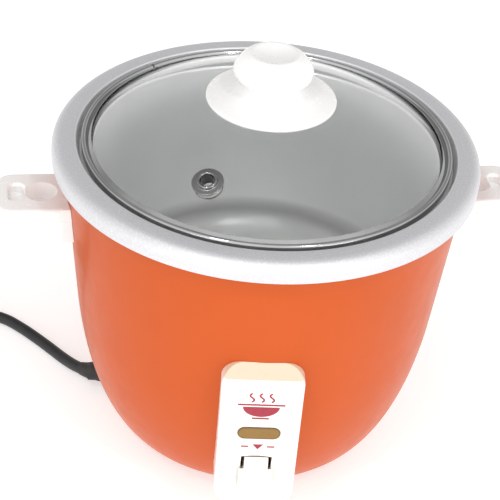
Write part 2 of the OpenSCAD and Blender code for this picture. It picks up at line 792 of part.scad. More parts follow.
module handle_screws() {
    color("#c8cacc") rotate(handle_turn) for (m = [0, 1], p = handle_screw_at) mirror([m, 0, 0]) {
        seat_x = head_seat(p);
        translate([seat_x, p.x, p.y]) rotate([0, 90, 0]) screw_up(handle_foot_x - 1 - seat_x, screw_r - 0.1);
    }
}

// ---------- base ----------

module base_plate() {
    color("#c4c7ca") difference() {
        spun([[0, base_z + dish_h], [dish_r - 3, base_z + dish_h], [dish_r, base_z],
            [base_r, base_z]], base_t);
        around([for (i = [0:slot_count - 1]) 360 * (i + 0.5) / slot_count], 18) {
            translate([0, -1.5, -1]) cube([9, 3, 20]);
            for (x = [0, 9]) translate([x, 0, -1]) cylinder(r = 1.5, h = 20);
        }
        around(base_screw_angles, base_screw_place_r) cylinder(r = screw_r + slack, h = 10);
        around(foot_angles, foot_place_r) cylinder(r = peg_r + 0.1, h = 10);
    }
}

module feet() {
    dish_z = base_z + dish_h;
    color("#2e2e30") around(foot_angles, foot_place_r) {
        rotate_extrude() polygon(concat([[0, 0], [foot_r - 1.5, 0], [foot_r - 0.4, 0.6]],
            [[foot_r, 2], [foot_r - 1, dish_z], [0, dish_z]]));
        // snap peg through the base plate
        translate([0, 0, dish_z]) cylinder(r = peg_r, h = base_t);
        translate([0, 0, dish_z + base_t]) cylinder(r = peg_r + 1.1, h = 1);
    }
}

module base_screws() {
    color("#c8cacc") around(base_screw_angles, base_screw_place_r) translate([0, 0, base_z])
        screw_up(base_t + sheet_t + screw_out);
}

// ---------- mains lead ----------

module cord_gland() {
    color("#1d1d1f") difference() {
        union() {
            // flange that follows the housing's outer face
            intersection() {
                difference() {
                    housing_body(1.8);
                    housing_body(0.05);
                }
                gland_frame() cylinder(r = gland_hole_r + 3, h = 30, center = true);
            }
            // tapered sleeve outside the wall
            difference() {
                gland_frame() rotate_extrude() polygon([[0, -2], [gland_hole_r + 0.8, -2],
                    [gland_hole_r + 0.8, 0], [lead_r + 1.2, gland_tip_l], [0, gland_tip_l]]);
                housing_body(0.05);
            }
            // neck through the wall, with a collar behind it
            gland_frame() translate([0, 0, -gland_in_l]) {
                cylinder(r = gland_hole_r - 0.15, h = gland_in_l + 1);
                cylinder(r = gland_hole_r + 1.5, h = 2.5);
            }
        }
        gland_frame() cylinder(r = lead_r - 0.4, h = 80, center = true);
    }
}

module power_cord() {
    color("#161617") tube(smooth(lead_route), lead_r);
}

module plug_lead() {
    color("#161617") tube(smooth(tail_route), lead_r);
}

module cord_coil() {
    e = lead_r * 0.6;
    color("#161617") translate(coil_at) rotate_extrude() polygon(concat(
        arc([coil_in_r + e, e], e, 180, 270, 2), arc([coil_out_r - e, e], e, 270, 360, 2),
        arc([coil_out_r - e, coil_h - e], e, 0, 90, 2), arc([coil_in_r + e, coil_h - e], e, 90, 180, 2)));
}

module cord_tie() {
    t = 0.8;
    color("#2a2a2c") translate(coil_at) rotate(20) translate([coil_in_r - t, -2.5, 0]) difference() {
        cube([2 * lead_d + 2 * t, 5, coil_h + t]);
        translate([t, -1, -1]) cube([2 * lead_d, 7, coil_h + 1]);
    }
}

// the plug lies at the end of the tail, along the X axis
module plug_frame() {
    translate(tail_route[len(tail_route) - 1]) children();
}

module plug_body() {
    color("#19191b") plug_frame() difference() {
        union() {
            translate([8, 0, -plug_h / 2]) linear_extrude(plug_h) {
                translate([0, -plug_w / 2 + 5]) square([plug_l - 8, plug_w - 10]);
                translate([5, -plug_w / 2]) square([plug_l - 13, plug_w]);
                for (s = [-1, 1]) translate([5, s * (plug_w / 2 - 5)]) circle(5);
            }
            rod_x(lead_r + 1.8, -4, 9);
        }
        rod_x(lead_r, -5, 2);
        for (x = [-1.5, 1.5, 4.5]) translate([x, 0, 0]) difference() {
            rod_x(12, -0.5, 0.5);
            rod_x(lead_r + 1.1, -1, 1);
        }
    }
}

module plug_pins() {
    color("#c9cbd0") plug_frame() for (s = [-1, 1]) translate([0, s * plug_pitch / 2, 0]) {
        rod_x(plug_pin_r, plug_l, plug_l + plug_pin_l - 1);
        translate([plug_l + plug_pin_l - 1, 0, 0]) rotate([0, 90, 0])
            rotate_extrude() polygon([[0, 0], [plug_pin_r, 0], [plug_pin_r - 1, 1], [0, 1]]);
    }
}

// ---------- cook lever ----------

module lever_arm() {
    half = lever_w / 2;
    ear_half = tongue_half_x - ear_t - ear_gap;
    color("#c2c5c8") difference() {
        union() {
            translate([-half, -arm_step_y, lever_z]) cube([lever_w, arm_step_y + 3, lever_t]);
            translate([-half, -arm_step_y - lever_t, lever_z])
                cube([lever_w, lever_t, arm_high_z - lever_z + lever_t]);
            translate([-half, -arm_front_y, arm_high_z]) cube([lever_w, arm_front_y - arm_step_y, lever_t]);
            // ears that stand up to the pivot pin
            translate([-ear_half, pivot_y - 4, lever_z]) cube([2 * ear_half, 8, lever_t]);
            for (s = [-1, 1]) translate([s > 0 ? ear_half - ear_t : -ear_half, pivot_y - 4, lever_z])
                cube([ear_t, 8, pivot_z - lever_z + 2.6]);
        }
        translate([0, pivot_y, pivot_z]) rod_x(pin_r + pin_fit, -20, 20);
        // fork around the magnet's rod
        translate([-rod_r - 0.6, -6, lever_z - 1]) cube([2 * rod_r + 1.2, 10, lever_t + 2]);
    }
}

// side view of the key, in (distance in front of the middle, height)
function key_side() = [[key_face_y - 3.2, key_top_z - 1], [key_face_y - 1, key_top_z],
    [key_face_y, key_top_z - 1], [key_face_y + 0.4, key_lip_top_z], [key_face_y + 0.4, key_low_z],
    [key_face_y - 3.2, key_low_z]];

// side view of the finger lip, which stands in front of the panel and hides the slot's lower part
function lip_side() = concat(
    [[key_face_y - 0.1, key_lip_z], [key_lip_y - 0.8, key_lip_z], [key_lip_y, key_lip_z + 0.8]],
    arc([key_lip_y - key_lip_round, key_lip_top_z + 1 - 1.7 * key_lip_round], key_lip_round, 0, 50, 3),
    [[key_face_y - 0.1, key_lip_top_z + 1]]);

module cook_key() {
    stub_back_y = arm_front_y - 8;
    skirt_y = panel_y - panel_t - scoop_rim_t - 1.8;
    color("#f8f3ea") difference() {
        union() {
            translate([-key_w / 2, 0, 0]) rotate([90, 0, 90]) linear_extrude(key_w)
                polygon([for (p = key_side()) [-p.x, p.y]]);
            translate([-key_lip_w / 2, 0, 0]) rotate([90, 0, 90]) linear_extrude(key_lip_w)
                polygon([for (p = lip_side()) [-p.x, p.y]]);
            // socket for the lever and the skirt that closes the lower part of the slot
            translate([-lever_w / 2 - 1.5, -key_face_y + 1, arm_high_z - 1.8])
                cube([lever_w + 3, key_face_y - 1 - stub_back_y, lever_t + 3.6]);
            translate([-key_w / 2 - slot_side - 0.8, -skirt_y, slot_low_z + 0.4])
                cube([key_w + 2 * slot_side + 1.6, 1.4, arm_high_z - slot_low_z]);
        }
        translate([-lever_w / 2, -arm_front_y, arm_high_z]) cube([lever_w, 20, lever_t]);
    }
}

// ---------- thermostat ----------

module magnet_rod() {
    collar_z = lever_z + lever_t + collar_gap;
    clip_z = lever_z - 2;
    color("#b8a050") {
        translate([0, 0, clip_z - 2]) cylinder(r = rod_r, h = holder_z - clip_z + 2 + eps);
        translate([0, 0, collar_z]) cylinder(r = collar_r, h = 1.2);
        translate([0, 0, clip_z]) cylinder(r = rod_r + 1.5, h = 1);
        translate([0, 0, holder_z]) cylinder(r = holder_r, h = holder_t);
    }
}

module magnet() {
    color("#4a4b4f") translate([0, 0, magnet_z]) cylinder(r = magnet_r, h = magnet_h);
}

module magnet_spring() {
    color("#c8cacc") coil_spring((magnet_r + holder_r) / 2, 0.4, magnet_z, plate_z - cup_t, 4);
}

module sensor_cup() {
    color("#c6c8cb") rotate_extrude() polygon(concat(
        [[0, plate_z]], arc([cup_r - 1.5, plate_z - 1.5], 1.5, 90, 0, 3),
        [[cup_r, cup_low_z + 1], [cup_r + cup_collar_w, cup_low_z + 1], [cup_r + cup_collar_w, cup_low_z],
        [cup_lip_r, cup_low_z], [cup_lip_r, cup_low_z + 1], [cup_r - cup_t, cup_low_z + 1],
        [cup_r - cup_t, plate_z - cup_t], [0, plate_z - cup_t]]));
}

module sensor_ferrite() {
    color("#3c3d40") translate([0, 0, ferrite_z]) cylinder(r = magnet_r + 0.5, h = ferrite_h);
}

module sensor_spring() {
    color("#c8cacc") coil_spring((cup_lip_r + cup_r) / 2, 0.5, bracket_z + bracket_t, cup_low_z, 3);
}

// ---------- cooking pot ----------

module inner_pot() {
    color("#c9cbce") spun(concat(
        [[0, pot_floor_z]],
        arc([pot_r - pot_corner_r, pot_floor_z + pot_corner_r], pot_corner_r, -90, 0, 6),
        arc([pot_r + 1.5, seat_z - 1.5], 1.5, 180, 90, 3),
        arc([seat_r - 1, seat_z + 1], 1, -90, 0, 3),
        arc([mouth_r + 1, rim_z - 1.2], 1.2, 170, 90, 3),
        arc([flange_flat_r, rim_z - flange_round], flange_round, 90, 0, 6),
        [[flange_r, rim_z - lip_h]]), -pot_t);
}

// ---------- lid ----------

band_z = seat_z;
band_top_z = band_z + band_h;
band_in_r = band_r - band_w;
band_t = 0.5;
band_gap = 0.3;
glass_edge_r = band_r - 2;
// the glass passes under the band's inner lip
dome_z = band_top_z - band_t - band_gap - sqrt(pow(dome_r, 2) - pow(band_in_r, 2));

knob_gap = 0.2;
gasket_r = 11;
gasket_t = 1.2;
washer_t = 1;

// height of the dome's outer face at radius r
function dome(r) = dome_z + sqrt(pow(dome_r, 2) - r * r);

// top of the gasket that lies against the inside of the glass
gasket_z = dome(gasket_r) - glass_t - 0.1;

// cuts along the vent's axis, square to the glass
module vent_frame() {
    tilt = asin(vent_place_r / dome_r);
    rotate(vent_angle) translate([0, 0, dome_z]) rotate([0, tilt, 0]) translate([0, 0, dome_r]) children();
}

module lid_glass() {
    outer = [for (i = [10:-1:0]) let (r = glass_edge_r * i / 10) [r, dome(r)]];
    inner = [for (p = outer) [p.x, p.y - glass_t]];
    color("#b9c4c6", 0.4) difference() {
        rotate_extrude() polygon(concat(outer, [for (i = [10:-1:0]) inner[i]]));
        translate([0, 0, dome(0) - 20]) cylinder(r = knob_screw_r + 1.5, h = 40);
        vent_frame() cylinder(r = vent_bore_r + 1.8, h = 30, center = true);
    }
}

module lid_band() {
    low_lip_r = glass_edge_r - 4.5;
    bead_r = 1.3;
    // the inner lip starts in the groove beside the rolled bead
    lip_foot_r = band_r - 2.2 * bead_r;
    color("#d3d5d7") rotate_extrude() polygon(concat(
        [[low_lip_r, band_z + 0.4], [low_lip_r, band_z], [band_r - 0.5, band_z], [band_r, band_z + 0.5]],
        arc([band_r - bead_r, band_top_z - bead_r], bead_r, 0, 150, 6),
        [[lip_foot_r, dome(lip_foot_r) + band_gap + band_t], [band_in_r + 0.2, dome(band_in_r + 0.2) + band_gap + band_t],
            [band_in_r, dome(band_in_r) + band_gap + 0.2], [band_in_r + 0.4, dome(band_in_r + 0.4) + band_gap],
            [lip_foot_r, dome(lip_foot_r) + band_gap], [band_r - band_t, band_top_z - 2 * bead_r],
            [band_r - band_t, band_z + 0.7], [band_r - 0.9, band_z + 0.4]]));
}

module lid_knob() {
    edge_z = dome(skirt_r) + knob_gap;
    cap_z = edge_z + knob_h;
    waist_z = edge_z + 8.5;
    wide_z = edge_z + 15.5;
    // rim of the hollow in the cap's top
    top_r = 0.58 * cap_r;
    dish_depth = 2.4;
    // the skirt's underside follows the glass, and a cavity leaves a wall of even thickness
    under = [for (i = [0:5]) let (r = skirt_r * i / 5) [r, dome(r) + knob_gap]];
    color("#fbfaf8") difference() {
        rotate_extrude() polygon(concat(under,
            [[skirt_r + 0.4, edge_z + 0.8], [skirt_r - 0.2, edge_z + 1.8]],
            [for (i = [1:7]) let (t = i / 7, z = edge_z + 2 + (waist_z - edge_z - 2) * t)
                [neck_r + (skirt_r - 0.6 - neck_r) * pow(1 - t, 2.2), z]],
            [[neck_r + 0.6, waist_z + 2.4], [neck_r + 2.6, waist_z + 4.6]],
            arc([cap_r - 3.4, wide_z], 3.4, -40, 48, 5),
            arc([top_r, cap_z - 2.6], 2.6, 46, 130, 5),
            [for (i = [3:-1:0]) let (r = (top_r - 2.4) * i / 3)
                [r, cap_z - 0.8 - dish_depth * (1 - pow(i / 3, 2))]]));
        translate([0, 0, dome(0)]) cylinder(r = knob_screw_r - 0.1, h = 16);
    }
}

module knob_gasket() {
    color("#e6e4e0") translate([0, 0, gasket_z - gasket_t]) difference() {
        cylinder(r = gasket_r, h = gasket_t);
        translate([0, 0, -1]) cylinder(r = knob_screw_r + 0.3, h = 4);
    }
}

module knob_washer() {
    color("#c8cacc") translate([0, 0, gasket_z - gasket_t - washer_t]) difference() {
        cylinder(r = gasket_r - 1.5, h = washer_t);
        translate([0, 0, -1]) cylinder(r = knob_screw_r + 0.3, h = 4);
    }
}

module knob_screw() {
    low_z = gasket_z - gasket_t - washer_t;
    color("#c8cacc") translate([0, 0, low_z]) {
        cylinder(r = knob_screw_r - 0.1, h = dome(0) + 12 - low_z);
        rotate_extrude() polygon(concat([[0, 0], [5, 0]], arc([4, -1.4], 1, 0, -90, 3), [[0, -2.4]]));
    }
}

module vent_eyelet() {
    // half the thickness of the rolled collar round the bore
    collar_t = 0.75;
    color("#cfd1d3") vent_frame() difference() {
        rotate_extrude() polygon(concat(
            arc([vent_bore_r + collar_t, 2], collar_t, 180, 0, 6),
            [[vent_bore_r + 2 * collar_t + 0.1, 1.4], [vent_r - 1.1, 1.1]],
            arc([vent_r - 0.6, 0.6], 0.5, 70, -60, 4), [[vent_bore_r + 1.6, 0.3],
            [vent_bore_r + 1.6, -glass_t - 0.9], [vent_bore_r + 3.2, -glass_t - 1.6],
            [vent_bore_r, -glass_t - 1.6]]));
        cylinder(r = vent_bore_r, h = 30, center = true);
    }
}

module vent_gasket() {
    color("#e6e4e0") vent_frame() translate([0, 0, -glass_t - 0.9]) difference() {
        cylinder(r = vent_bore_r + 2.9, h = 0.8);
        cylinder(r = vent_bore_r + 1.7, h = 5, center = true);
    }
}

// ---------- assembly ----------

outer_housing();
heat_drum();
heating_plate();
plate_spacers();
element_terminals();
lever_bracket();
bracket_screws();
lever_pin();
thermal_fuse();
terminal_block();
microswitch();
switch_plunger();
control_panel();
indicator_lens();
indicator_lamp();
panel_screws();
handle_left();
handle_right();
handle_screws();
base_plate();
feet();
base_screws();
cord_gland();
power_cord();
cord_coil();
cord_tie();
plug_lead();
plug_body();
plug_pins();
cook_key();
lever_arm();
magnet_rod();
magnet();
magnet_spring();
sensor_cup();
sensor_ferrite();
sensor_spring();
inner_pot();
lid_glass();
lid_band();
lid_knob();
knob_gasket();
knob_washer();
knob_screw();
vent_eyelet();
vent_gasket();
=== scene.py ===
# %% [markdown]
# # A small rice cooker and its looks
# The construction comes in as a fixed frame: every piece at its true size, in metres, with its joints. This
# lesson gives it its looks. The first cell loads the frame and can read the box of any piece. The dressed
# cooker has to stay inside the constructed one. All sizes below are written in millimetres and scaled once,
# with MM.

# %% Load the frame
import json
import math

import bmesh
import bpy
from mathutils import Matrix, Vector


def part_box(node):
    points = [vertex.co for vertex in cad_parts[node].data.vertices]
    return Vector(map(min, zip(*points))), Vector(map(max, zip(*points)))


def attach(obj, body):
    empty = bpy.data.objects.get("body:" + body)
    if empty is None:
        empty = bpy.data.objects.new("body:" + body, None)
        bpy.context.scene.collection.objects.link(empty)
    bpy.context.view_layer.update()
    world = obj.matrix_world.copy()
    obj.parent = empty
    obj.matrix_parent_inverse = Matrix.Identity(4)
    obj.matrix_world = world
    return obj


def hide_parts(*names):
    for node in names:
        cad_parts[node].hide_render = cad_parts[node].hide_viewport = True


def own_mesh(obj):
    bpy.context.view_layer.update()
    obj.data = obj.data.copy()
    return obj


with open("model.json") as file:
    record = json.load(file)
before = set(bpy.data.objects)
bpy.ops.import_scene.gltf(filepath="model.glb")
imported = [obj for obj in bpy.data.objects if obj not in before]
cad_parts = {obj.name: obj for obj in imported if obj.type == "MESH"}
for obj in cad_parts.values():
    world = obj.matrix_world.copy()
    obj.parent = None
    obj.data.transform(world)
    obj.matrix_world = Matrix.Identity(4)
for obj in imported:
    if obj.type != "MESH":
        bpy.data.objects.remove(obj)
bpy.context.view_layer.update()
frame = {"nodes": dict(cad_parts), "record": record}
nodes = frame["nodes"]
slot_of = {part["node"]: part["material_slot"] for part in frame["record"]["subparts"]}
MM = 0.001

# %% [markdown]
# ## Camera
# A long lens looks down at the cooker from in front and a little to its left. A camera can be aimed with a
# constraint; a plain matrix from three angles is used instead, because it states the pan, the tilt and the
# roll.

# %% Camera
LENS = 93.6
TURN = math.radians(4.25)
TILT = math.radians(36.26)
ROLL = math.radians(4.8)
CAMERA_AT = Vector((-44.1, -539.4, 500.4)) * MM


def into_scene(name, data):
    """Wraps data in an object and puts it in the scene."""
    piece = bpy.data.objects.new(name, data)
    bpy.context.scene.collection.objects.link(piece)
    return piece


camera_data = bpy.data.cameras.new("camera")
camera_data.lens = LENS
camera = into_scene("camera", camera_data)
camera.matrix_world = (Matrix.Translation(CAMERA_AT) @ Matrix.Rotation(-TURN, 4, "Z")
                       @ Matrix.Rotation(math.pi / 2 - TILT, 4, "X") @ Matrix.Rotation(ROLL, 4, "Z"))
bpy.context.scene.camera = camera
bpy.context.scene.view_settings.view_transform = "Standard"
print("camera", round(CAMERA_AT.length, 3), "m away, lens", LENS, "mm")

# %% [markdown]
# ## A few tools for node trees
# Shader trees and geometry trees are both nets of nodes, so one small helper can build either: it makes a
# node, sets its settings, and feeds each input with a plain value or with a wire. The rest of the lesson then
# reads as a list of steps and not as a list of links.

# %% Node helpers
def node(tree, kind, wires=(), **settings):
    """Adds a node to a tree; wires gives its inputs, each a value or another node's output."""
    made = tree.nodes.new(kind)
    for setting, value in settings.items():
        setattr(made, setting, value)
    for socket, source in dict(wires).items():
        if isinstance(source, bpy.types.NodeSocket):
            tree.links.new(source, made.inputs[socket])
        else:
            made.inputs[socket].default_value = source
    return made


def maths(tree, operation, *terms):
    """One Math node over the given terms."""
    return node(tree, "ShaderNodeMath", enumerate(terms), operation=operation).outputs[0]


print("helpers: node, maths")

# %% [markdown]
# ## Geometry trees
# A turned part is a profile spun about an axis, and a lead is a round section swept along a path. Both follow
# a rule, so a geometry tree makes them: the profile or the path goes in as a chain of points, and the sizes
# are named inputs. Each tree ends in Realize Instances and Set Material. The result is read back as a plain
# mesh, its doubles are merged and its faces turned outwards.

# %% Start and run a geometry tree
MERGE_WITHIN = 0.002


def start_tree(name, **sizes):
    """A geometry tree with a chain, named sizes and a finish as inputs; returns the tree and its inputs."""
    tree = bpy.data.node_groups.new(name, "GeometryNodeTree")
    tree.interface.new_socket("Chain", in_out="INPUT", socket_type="NodeSocketGeometry")
    for label, kind in sizes.items():
        tree.interface.new_socket(label, in_out="INPUT", socket_type="NodeSocket" + kind)
    tree.interface.new_socket("Finish", in_out="INPUT", socket_type="NodeSocketMaterial")
    tree.interface.new_socket("Piece", in_out="OUTPUT", socket_type="NodeSocketGeometry")
    return tree, tree.nodes.new("NodeGroupInput").outputs


def end_tree(tree, inputs, shape):
    """Closes a tree: real geometry, smooth faces, one finish."""
    real = node(tree, "GeometryNodeRealizeInstances", {"Geometry": shape}).outputs[0]
    smooth = node(tree, "GeometryNodeSetShadeSmooth", {"Geometry": real}).outputs[0]
    painted = node(tree, "GeometryNodeSetMaterial", {
        "Geometry": smooth, "Material": inputs["Finish"]}).outputs[0]
    node(tree, "NodeGroupOutput", {"Piece": painted})


def chain(points):
    """A mesh that is only a chain of points, in metres, from points in millimetres."""
    mesh = bpy.data.meshes.new("chain")
    places = [Vector(p) * MM for p in points]
    mesh.from_pydata(places, [(i, i + 1) for i in range(len(places) - 1)], [])
    return mesh


def grow(name, tree, points, finish, sharp=30, place=None, **sizes):
    """Runs a tree on a chain of points and keeps the result as a plain mesh, placed by its vertices."""
    piece = into_scene(name, chain(points))
    grower = piece.modifiers.new("grow", "NODES")
    grower.node_group = tree
    values = dict(sizes, Finish=finish)
    for socket in tree.interface.items_tree:
        if socket.in_out == "INPUT" and socket.name in values:
            grower[socket.identifier] = values[socket.name]
    mesh = bpy.data.meshes.new_from_object(piece.evaluated_get(bpy.context.evaluated_depsgraph_get()))
    piece.modifiers.remove(grower)
    piece.data = mesh
    mesh.name = name
    shell = bmesh.new()
    shell.from_mesh(mesh)
    bmesh.ops.remove_doubles(shell, verts=shell.verts, dist=MERGE_WITHIN * MM)
    bmesh.ops.recalc_face_normals(shell, faces=shell.faces)
    if place:
        shell.transform(place)
    shell.to_mesh(mesh)
    shell.free()
    mesh.set_sharp_from_angle(angle=math.radians(sharp))
    print(name, len(mesh.polygons), "faces")
    return piece


# %% Tree: a part turned on a lathe
spin_tree, spin_in = start_tree("turned_part", Segments="Int")
spin_count = node(
    spin_tree, "GeometryNodeAttributeDomainSize", {"Geometry": spin_in["Chain"]}).outputs["Point Count"]
spin_grid = node(spin_tree, "GeometryNodeMeshGrid", {
    "Size X": 1.0, "Size Y": 1.0, "Vertices X": maths(spin_tree, "ADD", spin_in["Segments"], 1),
    "Vertices Y": spin_count})
spin_uv = node(spin_tree, "ShaderNodeSeparateXYZ", {0: spin_grid.outputs["UV Map"]}).outputs
spin_angle = maths(spin_tree, "MULTIPLY", spin_uv["X"], 2 * math.pi)
spin_row = maths(spin_tree, "ROUND", maths(
    spin_tree, "MULTIPLY", spin_uv["Y"], maths(spin_tree, "SUBTRACT", spin_count, 1)))
spin_point = node(spin_tree, "GeometryNodeSampleIndex", {
    "Geometry": spin_in["Chain"], "Value": node(spin_tree, "GeometryNodeInputPosition").outputs[0],
    "Index": spin_row}, data_type="FLOAT_VECTOR")
spin_profile = node(spin_tree, "ShaderNodeSeparateXYZ", {0: spin_point.outputs[0]}).outputs
spin_place = node(spin_tree, "ShaderNodeCombineXYZ", {
    "X": maths(spin_tree, "MULTIPLY", spin_profile["X"], maths(spin_tree, "COSINE", spin_angle)),
    "Y": maths(spin_tree, "MULTIPLY", spin_profile["X"], maths(spin_tree, "SINE", spin_angle)),
    "Z": spin_profile["Z"]}).outputs[0]
end_tree(spin_tree, spin_in, node(spin_tree, "GeometryNodeSetPosition", {
    "Geometry": spin_grid.outputs["Mesh"], "Position": spin_place}).outputs[0])
print("tree", spin_tree.name, len(spin_tree.nodes), "nodes")

# %% Tree: a round section swept along a path, with a taper and ribs where they are wanted
sweep_tree, sweep_in = start_tree(
    "swept_lead", Diameter="Float", Sides="Int", Steps="Int", Taper="Float", Ribs="Float", Rib_height="Float")
sweep_path = node(sweep_tree, "GeometryNodeSetSplineResolution", {
    "Geometry": node(sweep_tree, "GeometryNodeCurveSplineType", {
        "Curve": node(sweep_tree, "GeometryNodeMeshToCurve", {"Mesh": sweep_in["Chain"]}).outputs[0]},
        spline_type="CATMULL_ROM").outputs[0],
    "Resolution": sweep_in["Steps"]}).outputs[0]
sweep_along = node(sweep_tree, "GeometryNodeSplineParameter").outputs["Factor"]
sweep_thin = maths(sweep_tree, "SUBTRACT", 1, maths(sweep_tree, "MULTIPLY", sweep_along, sweep_in["Taper"]))
sweep_wave = maths(sweep_tree, "SINE", maths(
    sweep_tree, "MULTIPLY", maths(sweep_tree, "MULTIPLY", sweep_along, sweep_in["Ribs"]), 2 * math.pi))
sweep_rib = maths(sweep_tree, "MULTIPLY", maths(sweep_tree, "MAXIMUM", sweep_wave, 0), sweep_in["Rib_height"])
sweep_round = node(sweep_tree, "GeometryNodeCurvePrimitiveCircle", {
    "Resolution": sweep_in["Sides"],
    "Radius": maths(sweep_tree, "DIVIDE", sweep_in["Diameter"], 2)}).outputs[0]
end_tree(sweep_tree, sweep_in, node(sweep_tree, "GeometryNodeCurveToMesh", {
    "Curve": sweep_path, "Profile Curve": sweep_round, "Fill Caps": True,
    "Scale": maths(sweep_tree, "ADD", sweep_thin, sweep_rib)}).outputs[0])
print("tree", sweep_tree.name, len(sweep_tree.nodes), "nodes")

# %% [markdown]
# ## Finishes
# Every finish is a Principled shader whose colour, roughness and fine relief come from patterns in object
# space, so they keep their true scale on every piece. What is the same all over a surface is set on the
# shader itself. A finish has the name of the record's material slot that it serves.

# %% The maker of finishes
class Finish:
    """One procedural finish: a Principled shader fed by patterns in object space; sizes in millimetres."""

    def __init__(self, slot, color, roughness, metallic=0.0, **constants):
        self.material = bpy.data.materials.new(slot)
        self.material.use_nodes = True
        self.tree = self.material.node_tree
        self.skin = self.tree.nodes["Principled BSDF"]
        self.color = (*color, 1)
        self.normal = None
        self.place = node(self.tree, "ShaderNodeTexCoord").outputs["Object"]
        constants.update({"Base Color": self.color, "Roughness": roughness, "Metallic": metallic})
        for socket, value in constants.items():
            self.skin.inputs[socket.replace("_", " ")].default_value = value

    def noise(self, size, detail=3, place=None):
        """Soft random spots of about the given size."""
        return node(self.tree, "ShaderNodeTexNoise", {
            "Vector": place or self.place, "Scale": 1 / (size * MM), "Detail": detail}).outputs[0]

    def parts(self, place=None):
        """The three coordinates of a place."""
        return node(self.tree, "ShaderNodeSeparateXYZ", {0: place or self.place}).outputs

    def radius(self):
        """Distance from the cooker's upright axis, in metres."""
        x, y, _ = self.parts()
        squares = [maths(self.tree, "MULTIPLY", c, c) for c in (x, y)]
        return maths(self.tree, "SQRT", maths(self.tree, "ADD", *squares))

    def lathe_lines(self, size):
        """Fine random rings about the upright axis, as a turning tool leaves them."""
        ring = node(self.tree, "ShaderNodeCombineXYZ", {"X": self.radius(), "Y": self.parts()["Z"]})
        return self.noise(size, 2, ring.outputs[0])

    def step(self, value, low, high, start=0.0, stop=1.0):
        """Takes a value from low..high to start..stop, and keeps it there outside."""
        return node(self.tree, "ShaderNodeMapRange", {
            "Value": value, "From Min": low, "From Max": high, "To Min": start, "To Max": stop}).outputs[0]

    def tint(self, factor, color):
        """Mixes a second colour in where the factor is high."""
        mix = node(self.tree, "ShaderNodeMix", {0: factor, 6: self.color, 7: (*color, 1)}, data_type="RGBA")
        self.color = mix.outputs[2]
        self.tree.links.new(self.color, self.skin.inputs["Base Color"])
        return self

    def gloss(self, value):
        """Feeds the roughness."""
        self.tree.links.new(value, self.skin.inputs["Roughness"])
        return self

    def metal(self, value):
        """Feeds how metallic the surface is."""
        self.tree.links.new(value, self.skin.inputs["Metallic"])
        return self

    def relief(self, height, depth, strength=1.0):
        """Raises the surface by a height pattern."""
        feed = {"Height": height, "Distance": depth * MM, "Strength": strength}
        if self.normal:
            feed["Normal"] = self.normal
        self.normal = node(self.tree, "ShaderNodeBump", feed).outputs[0]
        self.tree.links.new(self.normal, self.skin.inputs["Normal"])
        return self


def shade(color, amount):
    """A colour made lighter or darker."""
    return tuple(min(c * amount, 1) for c in color)


finishes = {}
print("finish maker ready")

# %% [markdown]
# ### Baked enamel
# The housing is pressed steel, sprayed and baked in a bright orange. Sprayed enamel is never perfectly flat:
# it shows orange peel about two millimetres across, slow changes of tone, and a clear skin that carries the
# reflections.

# %% Enamel
ORANGE = (0.57, 0.095, 0.016)
enamel = Finish("orange_enamel", ORANGE, 0.36, Coat_Weight=0.10, Coat_Roughness=0.07, Specular_IOR_Level=0.12)
enamel.tint(enamel.step(enamel.noise(55), 0.35, 0.65, 0, 0.35), shade(ORANGE, 0.86))
enamel.tint(enamel.step(enamel.noise(0.5, 1), 0.72, 0.76, 0, 0.35), shade(ORANGE, 0.6))
enamel.gloss(enamel.step(enamel.noise(9), 0.3, 0.7, 0.32, 0.4))
enamel.relief(enamel.noise(2.2, 1), 0.03).relief(enamel.noise(0.7, 1), 0.006)
finishes["orange_enamel"] = enamel.material
print("enamel", len(enamel.tree.nodes), "nodes")

# %% [markdown]
# ### Spun aluminium
# The pot is spun from a disc. Inside it keeps the fine rings of the forming roller and a satin sheen, and its
# broad flange is bead-blasted to a speckled grey. Its floor and lower corner are darkened as painted shade.
# One finish does all three, and changes over at a height just above the floor and at the mouth of the lid's
# seat.

# %% Aluminium
MOUTH_R = 92.3
FLOOR_SHADE_Z, FLOOR_SHADE_BLUR = 79, 4
POT_WALL_METAL, DULL_METAL = 0.55, 0.66
spun = Finish("spun_aluminium", (0.95, 0.95, 0.95), 0.34, 1.0)
on_flange = spun.step(spun.radius(), (MOUTH_R - 0.6) * MM, (MOUTH_R + 0.8) * MM)
speckle = spun.noise(0.9, 2)
rings = spun.lathe_lines(0.7)
spun.tint(spun.step(spun.noise(30), 0.35, 0.65, 0, 0.3), (0.84, 0.84, 0.835))
# Painted shade: the pot's floor and lower corner are darkened below a height just above the floor.
floor_shade = spun.step(
    spun.parts()["Z"], (FLOOR_SHADE_Z - FLOOR_SHADE_BLUR) * MM, (FLOOR_SHADE_Z + FLOOR_SHADE_BLUR) * MM, 1, 0)
spun.tint(floor_shade, (0.44, 0.44, 0.435))
spun.tint(on_flange, (0.70, 0.70, 0.725))
spun.tint(maths(spun.tree, "MULTIPLY", on_flange, spun.step(speckle, 0.5, 0.66, 0, 0.35)), (0.92, 0.92, 0.95))
spun.gloss(maths(spun.tree, "ADD", spun.step(rings, 0.3, 0.7, 0.3, 0.4),
                 maths(spun.tree, "MULTIPLY", on_flange, 0.14)))
spun.relief(rings, 0.003, 0.4)
spun.relief(maths(spun.tree, "MULTIPLY", on_flange, speckle), 0.12, 0.6)
spun.metal(spun.step(maths(spun.tree, "ADD", floor_shade, on_flange), 0, 1, POT_WALL_METAL, DULL_METAL))
finishes["spun_aluminium"] = spun.material
print("aluminium", len(spun.tree.nodes), "nodes")
